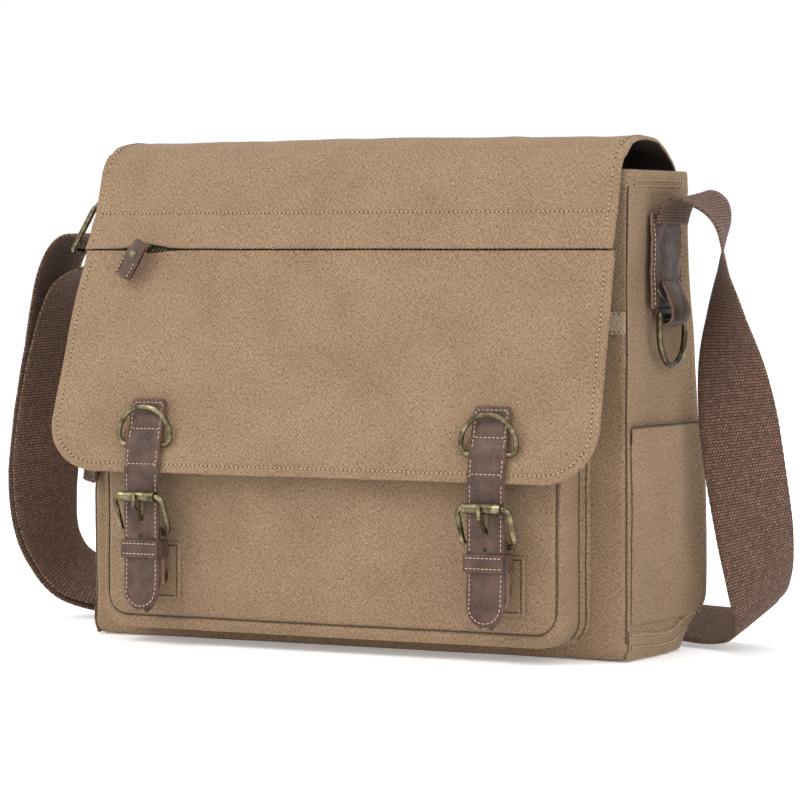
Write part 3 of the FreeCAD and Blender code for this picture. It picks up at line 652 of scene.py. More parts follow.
def make_gusset_details():
    for side, sign in (("left", -1), ("right", 1)):
        def band(y, z):
            z *= (19.0 - 3.0 * bump(y, -5, 25) + 8.0 * smoothstep(10, 42, y)) / 22.4
            point = side_point(sign, y, max(z, 3.0))
            lip = 0.35 if z > 1 else 0.0
            return point + Vector((sign * (0.5 + lip), 0, z - point.z))

        bag_sheet(
            "foot_band_" + side, band, spread(-48.5, 46, 5), [0.8, 2, 4, 8, 13, 18, 21.4, 22.4],
            CANVAS, 1.0, 0, ["base_band_" + side], flip=sign < 0,
        )
        for z in (20.4, 11.0):
            row = [band(y, z) + Vector((sign * 0.2, 0, 0)) for y in spread(-46, 42, 5)]
            stitches(row, (sign, 0, 0), "bag", pitch=3.6, length=2.9, width=1.0)
        for z in (292.5, 289.0):
            stitches(side_row(sign, z, -44, 30, 0.5), (sign, 0, 0), "bag", length=2.6)
        corner = []
        for z in spread(12, 288, 6):
            corner.append(body_point(sign * (BODY_HALF - 1.4), BODY_FRONT + 1.4, sign * 0.7, -0.7, z))
        stitches(corner, (sign * 0.7, -0.7, 0), "bag", "dark", 3.0, 3.8, 1.3, 0.1)

        def pocket(y, z):
            bow = 1 - (y / 47.5) ** 2
            point = side_point(sign, y, z)
            gap = 1.2 + (2.2 * smoothstep(20, 138, z) + 0.4) * max(bow, 0) ** 0.8
            gap += 0.8 * ripple(y, z, sign * 40, 26, 5.0) * max(bow, 0)
            gap += 0.8 * smoothstep(132, 133.5, z)
            return point + Vector((sign * gap, 0, 0))

        bag_sheet(
            "side_pocket_cloth_" + side, pocket, spread(-46, 46, 5),
            spread(22, 142.5, 6, (131.5, 133.5, 141)), CANVAS, 1.5, 1, ["side_pocket_" + side],
            flip=sign < 0,
        )
        rim = [pocket(y, 142.9) + Vector((sign * 0.1, 0, 0)) for y in spread(-45, 43, 5)]
        stitches(rim, (sign, 0, 0), "bag", "dark", 2.6, 3.0, 0.9, 0.0)


def make_inside():
    """Padded laptop divider, the zipped compartment's lining and its lid; the stiffener in the base is
    dressed with the kept CAD parts.
    """
    def divider(x, z):
        puff = 2.2 * abs(math.sin(math.pi * x / 60)) ** 0.5 * smoothstep(4, 14, z) * smoothstep(240, 230, z)
        return Vector((x, 17.6 - puff, z))

    bag_sheet(
        "laptop_divider_padding", divider, spread(-182, 182, 5), spread(4.5, 240, 8),
        LINING, 4.2, 0, ["laptop_divider"], "lining",
    )

    def wall(x, z):
        return Vector((x, -38.6 + slump(x, z) + 0.8 * ripple(x, 0, z, 60), z))

    bag_sheet(
        "compartment_lining", wall, spread(-184, 184, 8), spread(3, 285, 8), LINING, 0.8, 0,
        ["compartment_wall"], "lining",
    )

    def top(x, y):
        return Vector((x, y + slump(x, 284), 284.5))

    bag_sheet(
        "compartment_lid", top, spread(-184, 184, 8), spread(-47, -38, 3), LINING, 0.8, 0,
        ["compartment_top"], "lining",
    )


# ---- front pocket -------------------------------------------------------------------------------
POCKET_CORNER = 16.0
POCKET_LOW = 10.0
POCKET_HIGH = 212.0
# The dark seam's distance from the pocket's sides and bottom, and its corner radius.
SEAM_SIDE = 3.0
SEAM_LOW = 8.0
SEAM_CORNER = 14.0


def pocket_face(z):
    """The pocket's front: upright, then leaning back above the knee."""
    return POCKET_FRONT + 14.0 * smoothstep(110, 250, z) * 1.6


def pocket_half(z):
    if z >= POCKET_LOW + POCKET_CORNER:
        return POCKET_HALF
    drop = POCKET_LOW + POCKET_CORNER - z
    return POCKET_HALF - POCKET_CORNER + math.sqrt(max(POCKET_CORNER ** 2 - drop ** 2, 0.0))


def seam_distance(x, z):
    """How far a point of the pocket's face lies inside its dark joining seam."""
    side = POCKET_HALF - SEAM_SIDE - abs(x)
    low = z - POCKET_LOW - SEAM_LOW
    if side < SEAM_CORNER and low < SEAM_CORNER:
        return SEAM_CORNER - math.hypot(SEAM_CORNER - side, SEAM_CORNER - low)
    return min(side, low)


def pocket_point(x, z, out=0.0):
    edge = min(POCKET_HALF - abs(x), z - POCKET_LOW)
    if z < POCKET_LOW + POCKET_CORNER and abs(x) > POCKET_HALF - POCKET_CORNER:
        reach = math.hypot(abs(x) - POCKET_HALF + POCKET_CORNER, POCKET_LOW + POCKET_CORNER - z)
        edge = POCKET_CORNER - reach
    seam = seam_distance(x, z)
    puff = 1.4 * smoothstep(0, 5, edge) - 1.5 * bump(seam, 0, 1.3) + 1.2 * smoothstep(2, 20, seam)
    belly = 3.0 * smoothstep(95, 30, abs(x)) * bump(z, 70, 60)
    creases = 0.7 * ripple(x, 0, z, 34, 2.0) + 0.25 * ripple(x, 0, z, 12, 8.0)
    creases += 0.5 * ripple(x, 0, z * 3, 25, 5.0) * smoothstep(60, 15, z)
    lean = slump(x, z)
    return Vector((x, pocket_face(z) + 2.2 - puff - belly - creases - out + lean, z))


def make_pocket_panel():
    heights = [POCKET_LOW + POCKET_CORNER * (1 - math.cos(math.radians(a))) for a in range(0, 90, 9)]
    heights += [16.6, 17.3, 18.0, 18.7, 19.4, 21, 23] + spread(POCKET_LOW + POCKET_CORNER, POCKET_HIGH, 5)
    heights = sorted(set(heights))
    across = [k / 64 for k in range(-64, 65)]
    extra = [sign * (1 - d / POCKET_HALF) for d in (1.0, 2.0, 2.5, 3, 3.5, 4, 5, 8) for sign in (-1, 1)]
    across = sorted(set(across + extra))
    points = []
    uvs = []
    for z in heights:
        half = pocket_half(max(z, POCKET_LOW + 0.05))
        for u in across:
            x = u * POCKET_HALF
            if half < POCKET_HALF:
                x = u * half if abs(u) > 0.8 else u * POCKET_HALF * (half / POCKET_HALF)
            points.append(pocket_point(x, z))
            uvs.append((x * MM, z * MM))
    front = build(
        "pocket_panel", points, grid_faces(len(across), len(heights)), CANVAS, "bag", uvs=uvs,
        stands_for=["pocket_front"], slot="canvas",
    )
    thicken(front, 1.8, 1)


def pocket_path():
    """The pocket's outline down the left, along the bottom and up: (x, z, normal x, normal z)."""
    path = []
    for z in spread(POCKET_LOW + POCKET_CORNER, POCKET_HIGH - 2, 6)[::-1]:
        path.append((-POCKET_HALF, z, -1.0, 0.0))
    for a in range(15, 90, 15):
        c, s = math.cos(math.radians(a)), math.sin(math.radians(a))
        path.append((-POCKET_HALF + POCKET_CORNER * (1 - c), POCKET_LOW + POCKET_CORNER * (1 - s), -c, -s))
    bottom = spread(-POCKET_HALF + POCKET_CORNER, POCKET_HALF - POCKET_CORNER, 7)
    mirrored = [(-x, z, -nx, nz) for x, z, nx, nz in reversed(path)]
    return path + [(x, POCKET_LOW, 0.0, -1.0) for x in bottom] + mirrored


def make_pocket_gusset():
    path = pocket_path()

    def gusset(step, depth):
        x, z, nx, nz = path[int(step)]
        front_y = pocket_face(z) + 2.4 + slump(x, z)
        back_y = BODY_FRONT - 0.6 + slump(x, z)
        y = front_y + (back_y - front_y) * depth
        puff = 1.6 * math.sin(math.pi * min(depth * 1.1, 1)) + 0.5 * ripple(x, y, z, 15, 2.0) * depth
        puff += 5.5 * smoothstep(0.86, 1.0, depth) - 0.8 * bump(depth, 0.82, 0.06)
        return Vector((x + nx * puff, y, z + nz * puff * 0.6))

    strip = bag_sheet(
        "pocket_gusset_strip", gusset, range(len(path)),
        [0, 0.06, 0.15, 0.3, 0.5, 0.7, 0.8, 0.86, 0.92, 1.0], CANVAS, 1.6, 1,
        ["pocket_gusset_left", "pocket_gusset_right", "pocket_bottom"], flip=True,
    )
    layer = strip.data.uv_layers[0]
    for loop in strip.data.loops:
        co = strip.data.vertices[loop.vertex_index].co
        layer.data[loop.index].uv = (co.y, co.z + co.x)
    for sign in (-1, 1):
        for depth in (0.76, 0.93):
            row_points = []
            for index, (x, z, nx, nz) in enumerate(path):
                if x * sign > 0 and z > 14:
                    row_points.append(gusset(index, depth) + Vector((sign * 0.1, 0, 0)))
            stitches(row_points, (sign, 0, 0), "bag", "dark")


def make_pocket_seam():
    """The dark row that joins the pocket's face to its gusset."""
    right = [(POCKET_HALF - SEAM_SIDE, z) for z in spread(32, POCKET_HIGH - 4, 6)[::-1]]
    for a in range(9, 90, 9):
        angle = math.radians(a)
        right.append((
            POCKET_HALF - SEAM_SIDE - SEAM_CORNER + SEAM_CORNER * math.cos(angle),
            POCKET_LOW + SEAM_LOW + SEAM_CORNER - SEAM_CORNER * math.sin(angle),
        ))
    bottom = [(x, POCKET_LOW + SEAM_LOW) for x in spread(-140, 140, 6)[::-1]]
    joint = right + bottom + [(-x, z) for x, z in reversed(right)]
    stitches([pocket_point(x, z, 0.5) for x, z in joint], FRONT, "bag", "dark", 2.4, 3.0, 0.8, 0.1)


# ---- flap ---------------------------------------------------------------------------------------
CREST = [
    (50.6, 282), (50.6, 290), (50.2, 296), (47.0, 302.5), (40, 308), (30, 312.6), (13, 317),
    (-4, 319.2), (-22, 319.6), (-36, 317.6), (-46, 312.8), (-52.5, 306.4), (-56, 300),
]


def crest_table():
    """The crest's side profile as (distance, y, z, normal y, normal z), ending at distance 0."""
    dense = []
    for index in range(len(CREST) - 1):
        p = [Vector(CREST[min(max(index + k, 0), len(CREST) - 1)]) for k in (-1, 0, 1, 2)]
        for step in range(8):
            t = step / 8
            point = 0.5 * (
                2 * p[1] + (p[2] - p[0]) * t + (2 * p[0] - 5 * p[1] + 4 * p[2] - p[3]) * t * t
                + (3 * p[1] - p[0] - 3 * p[2] + p[3]) * t ** 3
            )
            dense.append(point)
    dense.append(Vector(CREST[-1]))
    total = sum((b - a).length for a, b in zip(dense, dense[1:]))
    table = []
    reach = -total
    for index, point in enumerate(dense):
        ahead = dense[min(index + 1, len(dense) - 1)]
        behind = dense[max(index - 1, 0)]
        along = (ahead - behind).normalized()
        table.append((reach, point.x, point.y, along.y, -along.x))
        reach += (ahead - point).length
    return table


CREST_TABLE = crest_table()
CREST_START = CREST_TABLE[0][0]


def flap_profile(down):
    """(y, z, normal y, normal z) at a distance down the flap; less than 0 is over the crest."""
    if down >= 0:
        y = -56.0 - down * math.sin(LEAN)
        z = 300.0 - down * math.cos(LEAN)
        return y, z, -math.cos(LEAN), math.sin(LEAN)
    for first, second in zip(CREST_TABLE, CREST_TABLE[1:]):
        if down <= second[0]:
            break
    t = (down - first[0]) / max(second[0] - first[0], 1e-6)
    t = min(max(t, 0.0), 1.0)
    return tuple(a + (b - a) * t for a, b in zip(first[1:], second[1:]))


def flap_side(down):
    """Half the flap's width, without its rounded corners."""
    return FLAP_TOP_HALF + (FLAP_HALF - FLAP_TOP_HALF) * down / FLAP_LENGTH


def flap_half(down):
    if down < 0:
        return FLAP_TOP_HALF - 8.0 * smoothstep(-45, -108, down)
    half = flap_side(down)
    turn = down - (FLAP_LENGTH - FLAP_CORNER)
    if turn > 0:
        half += math.sqrt(max(FLAP_CORNER ** 2 - turn ** 2, 0.0)) - FLAP_CORNER
    return half


def flap_edge(x, down):
    """How far a point of the flap is from its nearest edge."""
    edge = min(flap_side(max(down, 0)) - abs(x), FLAP_LENGTH - down)
    turn = down - (FLAP_LENGTH - FLAP_CORNER)
    side = abs(x) - (FLAP_HALF - FLAP_CORNER)
    if turn > 0 and side > 0:
        edge = FLAP_CORNER - math.hypot(turn, side)
    return edge


def flap_point(x, down, out=0.0):
    """A point of the flap's outer face, with its slump, creases and rolled edges."""
    y, z, ny, nz = flap_profile(down)
    calm = 1 - max(bump(x, c, 24) for _, c in CLOSURES) * smoothstep(125, 150, down)
    push = 0.9 * ripple(x, y, z, 48, 3.0) + 0.3 * ripple(x, y, z, 15, 7.0)
    push += 0.35 * ripple(x, y * 3, z * 3, 20, 1.5)
    push *= calm
    edge = flap_edge(x, down)
    push += 0.5 * smoothstep(0, 4, edge) - 0.45 * bump(edge, HEM, 1.3)
    if 0 <= down < 60:
        push += 1.2 * smoothstep(26, 34, down) * smoothstep(56, 50, down)
    move_back = slump(x, z) * smoothstep(28, -28, y)
    forward = 6.5 * smoothstep(-142, -186, x) * smoothstep(205, 125, z)
    push += out
    return Vector((x, y + ny * push + move_back - forward, z + nz * push))


def flap_normal(x, down):
    _, _, ny, nz = flap_profile(down)
    return Vector((0, ny, nz))


# How far down the flap the placket ends, the zip's tape begins and ends, and the apron begins.
FOLD_DOWN = 48.5
TAPE_TOP = 44
TAPE_BOTTOM = 58
APRON_TOP = 53.8


def zip_closed(x):
    """The lips of the flap's zip lie almost together, except round the slider."""
    return 1 - bump(x, -140, 14)


def make_flap_cloth():
    """The flap's three pieces: over the crest, down to the zip, and from the zip to the hem."""
    two_ply = [MATERIALS["canvas"], MATERIALS["lining"], MATERIALS["canvas"]]
    across = [k / 62 for k in range(-62, 63)]
    across += [sign * (1 - d / 188) for d in (1, 2.5, 4, 5.2, 6.4, 8) for sign in (-1, 1)]
    across = sorted(set(across))

    def skin(name, downs, out, thickness, shift=lambda x, down: 0.0, **kind):
        verts = []
        uvs = []
        for down in downs:
            half = flap_half(min(down, FLAP_LENGTH - 0.05))
            for u in across:
                x = u * half
                verts.append(flap_point(x, down + shift(x, down), out(x, down)))
                uvs.append((x * MM, -down * MM))
        faces = [(a, d, c, b) for a, b, c, d in grid_faces(len(across), len(downs))]
        piece = build(name, verts, faces, two_ply, uvs=uvs, slot="canvas", **kind)
        thicken(piece, thickness, 1)
        piece.modifiers["thickness"].material_offset_rim = 2
        return piece

    crest = skin(
        "flap_crest_cloth", spread(CREST_START, -9, 4.5), lambda x, d: -0.9 * smoothstep(-22, -16, d),
        2.6, stands_for=["flap_crest", "crest_lining"],
    )
    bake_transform(freeze(crest))
    upper = skin(
        "flap_placket_cloth", spread(-16, FOLD_DOWN, 4, (-14.5, 25.5, 27.5, 29.5, 44, 46.5)),
        lambda x, d: 0.5 * smoothstep(-16, -14, d) + 1.7 * smoothstep(42, 47, d) - 0.5 * bump(d, 27.5, 1.8),
        2.4, lambda x, d: 2.7 * zip_closed(x) * smoothstep(34, 47, d), stands_for=["flap_placket"],
    )
    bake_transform(freeze(upper))
    arc = [FLAP_LENGTH - FLAP_CORNER * (1 - math.sin(math.radians(a))) for a in range(0, 91, 6)]
    downs = spread(APRON_TOP, FLAP_LENGTH - FLAP_CORNER, 4.5, (54.6, 56, 58, 60)) + arc + [189.0, 190.5]
    skin(
        "flap_apron_cloth", sorted(set(downs)), lambda x, d: 0.5 * smoothstep(60, 55, d), 3.2,
        lambda x, d: -1.9 * zip_closed(x) * smoothstep(62, 54, d), body="flap_front",
        stands_for=["flap_apron", "flap_lining"],
    )


def make_flap_zip():
    def tape(x, down):
        return flap_point(x, down, -1.9)

    sheet(
        "flap_zip_tape", tape, spread(-184, 184, 6), spread(TAPE_TOP, TAPE_BOTTOM, 2),
        MATERIALS["zip_tape"], 0.7,
        flip=True, body="flap_front", stands_for=["flap_zip"], slot="zip_tape",
    )
    teeth = Strands("flap_zip_teeth", MATERIALS["brass"], "flap_front", "metal")
    for number, x in enumerate(spread(-170, 181, 1.5)):
        down = 50.4 if number % 2 else 51.9
        normal = flap_normal(x, down)
        teeth.lens(flap_point(x, down, -1.3), Vector((0, normal.z, -normal.y)), normal, 2.4, 1.2, 0.7)
    teeth.finish()


def stitch_flap():
    """Rows along the placket's fold, round the hem and down the sides."""
    fold = [flap_point(x, 27.5, 0.2) for x in spread(-181.5, 181.5, 5)]
    stitches(fold, flap_normal(0, 27.5), "flap_front")
    left = [(-flap_half(down) + HEM, down) for down in spread(60, FLAP_LENGTH - FLAP_CORNER, 5)]
    inner = FLAP_CORNER - HEM
    for a in range(0, 91, 9):
        angle = math.radians(a)
        left.append((-(FLAP_HALF - FLAP_CORNER) - inner * math.cos(angle),
                     FLAP_LENGTH - FLAP_CORNER + inner * math.sin(angle)))
    hem = [(x, FLAP_LENGTH - HEM) for x in spread(-150, 150, 6)]
    outline = left + hem + [(-x, down) for x, down in reversed(left)]
    stitches([flap_point(x, down, 0.1) for x, down in outline], flap_normal(0, 100), "flap_front")
    for sign in (-1, 1):
        side = [flap_point(sign * 181.8, down, 0.4) for down in spread(0, 46, 5)]
        stitches(side, flap_normal(0, 20), "flap_front")
        crest_side = [
            flap_point(sign * (flap_half(down) - HEM), down, 0.45) for down in spread(CREST_START + 26, -2, 4)
        ]
        for a, b in zip(crest_side, crest_side[1:]):
            normal = Vector((0, -(b - a).z, (b - a).y)).normalized()
            if normal.z < 0:
                normal = -normal
            stitches([a, b], normal, "flap_top", pitch=4.0)


# ---- closures -----------------------------------------------------------------------------------
# The leather's side rows, from its middle; and the prong's slot: its heights, and half its width as
# a share of the strap's half width.
TAB_SEAM = 10.4
SLOT_LOW = 78
SLOT_HIGH = 92
SLOT_HALF = 0.12


def flap_plane(x, down, out):
    """A point on the flap's flat design plane, where the fittings sit."""
    y, z, ny, nz = flap_profile(down)
    return Vector((x, y + ny * out, z + nz * out))


def make_flap_tab(side, centre):
    """The leather tab sewn to the flap, folded over the D-ring's bar."""
    def face(u, down):
        swell = 1.5 * bump(down, 178, 3.6) + 0.35 * ripple(centre + u, down, 0, 9, 2.0)
        press = -0.5 * bump(abs(u), TAB_SEAM, 1.0) - 0.6 * bump(down, 168.0, 1.3)
        press -= 0.4 * bump(down, 190.6, 1.3)
        round_off = -0.9 * smoothstep(11.4, 13, abs(u))
        narrow = 1 - 0.10 * smoothstep(152.5, 148.6, down)
        return flap_plane(centre + u * narrow, down, 4.6 + swell + press + round_off)

    leather_sheet(
        "flap_tab_" + side, face, spread(-13, 13, 1.6, (-TAB_SEAM, TAB_SEAM)),
        spread(148.6, 193.4, 1.8, (168, 178, 190.6)), 4.2, "flap_front", ["stitched_strap_" + side],
        flip=True,
    )
    normal = flap_normal(0, 160)
    for sign in (-1, 1):
        sew([face(sign * TAB_SEAM, d) for d in spread(151.5, 174, 2)], normal, "flap_front")
        sew([face(sign * TAB_SEAM, d) for d in spread(181.5, 192, 2)], normal, "flap_front")
    for down in (151.4, 168.0, 190.6):
        sew([face(u, down) for u in spread(-10, 10, 2)], normal, "flap_front")


def make_closure_strap(side, centre):
    """The hanging strap: rounded tip, prong slot, stitched edges and creases from wear."""
    body = "closure_" + side
    top, tip, half = 109.8, 23.5, 13.0

    def half_at(z):
        drop = tip + half - z
        if drop <= 0:
            return half
        return math.sqrt(max(half ** 2 - drop ** 2, 0.0))

    def face(u, z):
        flare = 1.6 * smoothstep(52, 25, z)
        press = 0.45 * bump(abs(u), 0.80, 0.07)
        wave = 0.45 * ripple(centre, 0, z, 12, 1.0) + 0.3 * ripple(centre + u * 13, 0, z, 7, 4.0)
        roll = 0.8 * smoothstep(0.88, 1.0, abs(u))
        return Vector((centre + u * half_at(z), -105.4 + press + roll - wave * 0.6 - flare * 0.5, z))

    heights = sorted(set(
        [tip + half * (1 - math.cos(math.radians(a))) for a in range(11, 91, 7)]
        + spread(tip + half, top, 2.2, (SLOT_LOW, SLOT_HIGH))
    ))
    across = sorted({k / 12 for k in range(-12, 13)} | {-SLOT_HALF, SLOT_HALF, -0.8, 0.8})
    verts = [face(u, z) for z in heights for u in across]
    uvs = [((centre + u * half) * MM, z * MM) for z in heights for u in across]
    faces = []
    row = len(across)
    for j in range(len(heights) - 1):
        for i in range(row - 1):
            middle_u = (across[i] + across[i + 1]) / 2
            middle_z = (heights[j] + heights[j + 1]) / 2
            if abs(middle_u) < SLOT_HALF and SLOT_LOW < middle_z < SLOT_HIGH:
                continue
            a = j * row + i
            faces.append((a, a + 1, a + row + 1, a + row))
    strap = build(
        "hanging_strap_" + side, verts, faces, LEATHER, body, uvs=uvs,
        stands_for=["closure_strap_" + side], slot="leather",
    )
    thicken(strap, 3.6, 0)
    strap.modifiers["thickness"].material_offset_rim = 1
    for sign in (-1, 1):
        sew([face(sign * 0.8, z) for z in spread(36, 56, 2)], FRONT, body)
        sew([face(sign * 0.8, z) for z in spread(69, 109, 2)], FRONT, body)
    arc = []
    for a in range(180, 361, 12):
        angle = math.radians(a)
        x = centre + TAB_SEAM * math.cos(angle)
        arc.append(Vector((x, -106.3, tip + half + TAB_SEAM * math.sin(angle))))
    sew(arc, FRONT, body)
    # A small dark disc on the strap, below its slot: painted shade of a hole's dark edge, not a cut hole.
    hole_shades = thread(body, "hole")
    hole_shades.lens(face(0, 70.5) + Vector((0, -0.1, 0)), Vector((1, 0, 0)), Vector((0, -1, 0)), 2.6, 2.6, 0.3)


def make_strap_bend(side, centre):
    """The short stretch of leather from the flap's tab to the hanging strap, where it bends when the strap is
    lifted off its snap; here it is built in one fixed shape.
    """
    def face(u, t):
        upper = flap_plane(centre + u, 191.6, 4.4 - 0.9 * smoothstep(11.4, 13, abs(u)))
        lower = Vector((centre + u, -105.2 + 0.8 * smoothstep(11.4, 13, abs(u)), 108.2))
        return upper.lerp(lower, t) - Vector((0, 0.5 * math.sin(math.pi * t), 0))

    bend = leather_sheet(
        "strap_bend_" + side, face, spread(-13, 13, 1.6), [k / 12 for k in range(13)], 3.8, None, flip=True,
    )
    hinge_y = face(0, 0.5).y * MM
    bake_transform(freeze(bend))


def make_keeper(side, centre):
    """The leather loop that holds the strap's tail."""
    body = "closure_" + side
    half_x, front, back, turn = 14.7, -107.4, -94.0, 2.6
    loop = []
    for cx, cy, start in ((half_x - turn, back - turn, 0), (-half_x + turn, back - turn, 90),
                          (-half_x + turn, front + turn, 180), (half_x - turn, front + turn, 270)):
        for a in range(0, 91, 18):
            angle = math.radians(start + a)
            loop.append((cx + turn * math.cos(angle), cy + turn * math.sin(angle)))
    loop = loop[-6:] + loop
    dense = []
    for (ax, ay), (bx, by) in zip(loop, loop[1:]):
        parts = max(1, round(math.hypot(bx - ax, by - ay) / 3))
        dense += [(ax + (bx - ax) * k / parts, ay + (by - ay) * k / parts) for k in range(parts)]

    def face(step, z):
        x, y = dense[int(step) % len(dense)]
        belly = 0.5 * bump(x, 0, 9) * (1 if y < -100 else 0)
        return Vector((centre + x, y - belly + 0.2 * ripple(centre + x, y, z, 6), z))

    leather_sheet(
        "keeper_loop_" + side, face, range(len(dense)), [56.7, 57.4, 59.2, 62, 65, 66.9, 67.8], 1.5,
        body, ["keeper_" + side],
    )
    for z in (59.2, 65.6):
        points = [Vector((centre + x, front - 0.5 * bump(x, 0, 9) - 0.1, z)) for x in spread(-12.5, 12.5, 2)]
        sew(points, FRONT, body, 2.7)


def make_chape(side, centre):
    """The second ply behind the strap, wrapped round the buckle's bar."""
    body = "closure_" + side
    profile = [(-95.3, 71.5), (-96.6, 75.2), (-99.0, 76.3), (-100.8, 74.6), (-101.1, 72.0),
               (-101.0, 68)]

    def face(u, step):
        y, z = profile[int(step)]
        return Vector((centre + u, y, z))

    for part, (low, high) in (("near", (-12.3, -2.7)), ("far", (2.7, 12.3))):
        leather_sheet(
            "chape_wrap_" + part + "_" + side, face, spread(low, high, 1.6), range(len(profile)), 1.2,
            body, flip=True,
        )

    def ply(u, z):
        narrow = 1.0 if z > 40 else math.sqrt(max(1 - ((40 - z) / 8) ** 2, 0.05))
        return Vector((centre + 0.3 + u * narrow, -101.2 + 0.2 * ripple(u, 0, z, 8), z))

    leather_sheet(
        "chape_ply_" + side, ply, spread(-12.4, 12.4, 2), spread(33, 67, 2), 6.2, body, ["chape_" + side],
    )


def make_snap_patch(side, centre):
    """The canvas patch on the pocket that carries the snap's socket."""
    def face(x, z):
        return Vector((centre + x, -87.2 + 0.25 * ripple(centre + x, 0, z, 12), z))

    bag_sheet(
        "snap_backing_" + side, face, spread(-18, 18, 2.5), spread(29, 66, 3), [MATERIALS["canvas"]] * 2,
        1.9, 0, ["snap_patch_" + side],
    )
    border = [(-15.6, 63.6), (-15.6, 31.6), (15.6, 31.6), (15.6, 63.6), (-15.6, 63.6)]
    for (ax, az), (bx, bz) in zip(border, border[1:]):
        points = [face(ax + (bx - ax) * k / 20, az + (bz - az) * k / 20) for k in range(21)]
        stitches(points, FRONT, "bag", "dark", 3.0, lift=0.1)


def make_closures():
    for side, centre in CLOSURES:
        make_flap_tab(side, centre)
        make_closure_strap(side, centre)
        make_strap_bend(side, centre)
        make_keeper(side, centre)
        make_chape(side, centre)
        make_snap_patch(side, centre)


# ---- zips ---------------------------------------------------------------------------------------
def puller_loop(name, body, node, width, length, place):
    """A folded leather puller: both plies, the loop through the slider and stitching down its sides."""
    profile = [(-3.5, -length), (-3.7, -length + 6), (-3.9, -8), (-3.9, -2), (-4.2, 2.6), (-5.4, 4.6),
               (-6.8, 3.2), (-7.4, -1), (-7.5, -8), (-7.2, -length + 6), (-6.4, -length)]

    def face(u, step):
        y, z = profile[int(step)]
        narrow = 1 - 0.22 * smoothstep(-10, 3, z)
        corner = 1 - 0.18 * smoothstep(-length + 3, -length, z)
        return place(Vector((u * narrow * corner, y, z)))

    leather_sheet(
        name, face, spread(-width / 2, width / 2, 1.5), range(len(profile)), 1.3, body, [node],
        offset=0.0,
    )
    normal = (place(Vector((0, -1, 0))) - place(Vector((0, 0, 0)))).normalized()
    for sign in (-1, 1):
        rows = [place(Vector((sign * (width / 2 - 1.7), -8.25, z))) for z in spread(-length + 2, -9, 2)]
        stitches(rows, normal, body, "leather", 2.6, 1.9, 0.65, 0.05)


def make_pullers():
    def turned(point, degrees):
        turn = math.radians(degrees)
        x = point.x * math.cos(turn) + point.z * math.sin(turn)
        z = -point.x * math.sin(turn) + point.z * math.cos(turn)
        return x, z

    def flap_place(point):
        x, z = turned(point, 27.0)
        return flap_plane(-140.0 + x, 51.0 - z, -0.5 - point.y)

    def front_place(point):
        x, z = turned(point, 14.0)
        return Vector((-183.0 + x, -51.3 + point.y, 118.0 + z))

    puller_loop("flap_puller_leather", "flap_puller", "flap_zip_puller", 12.5, 22.5, flap_place)
    puller_loop("front_puller_leather", "front_puller", "front_zip_puller", 11.0, 19.0, front_place)


def make_front_zip():
    """Tape and teeth of the front compartment's zip, with the stitched stop at its right end."""
    def place(x, z, out):
        return Vector((x, BODY_FRONT - out + slump(x, z), z))

    strips = (
        ("left", (-188, -178), (108, 290)), ("right", (178, 188), (205, 290)),
        ("top", (-178, 178), (280, 290)),
    )
    for name, (x0, x1), (z0, z1) in strips:
        top = name == "top"
        bag_sheet(
            "front_zip_tape_" + name, lambda x, z: place(x, z, 1.5), spread(x0, x1, 8 if top else 2.5),
            spread(z0, z1, 5), MATERIALS["canvas" if name == "right" else "zip_tape"], 0.6, 0,
            ["front_zip"] if top else (), "zip_tape",
        )
    teeth = Strands("front_zip_teeth", MATERIALS["brass"], "bag", "metal")
    for number, z in enumerate(spread(111, 285, 1.6)):
        x = -183.0 + (0.8 if number % 2 else -0.8)
        teeth.lens(place(x, z, 1.9), Vector((1, 0, 0)), FRONT, 2.6, 1.3, 0.7)
    for number, x in enumerate(spread(-183, 183, 1.6)):
        z = 284.2 if number % 2 else 285.8
        teeth.lens(place(x, z, 1.9), Vector((0, 0, 1)), FRONT, 2.6, 1.3, 0.7)
    teeth.finish()

    def tab(x, z):
        return Vector((x, BODY_FRONT - 3.0 + 0.2 * ripple(x, 0, z, 6), z))

    bag_sheet(
        "zip_stop_tab", tab, spread(177, 188.5, 2), spread(199, 213, 2), [MATERIALS["canvas_pale"]] * 2,
        0.9, 0, ["zip_end_tab"],
    )
    for z in (200.5, 211.5):
        stitches([tab(x, z) for x in spread(178, 187.5, 2)], FRONT, "bag")


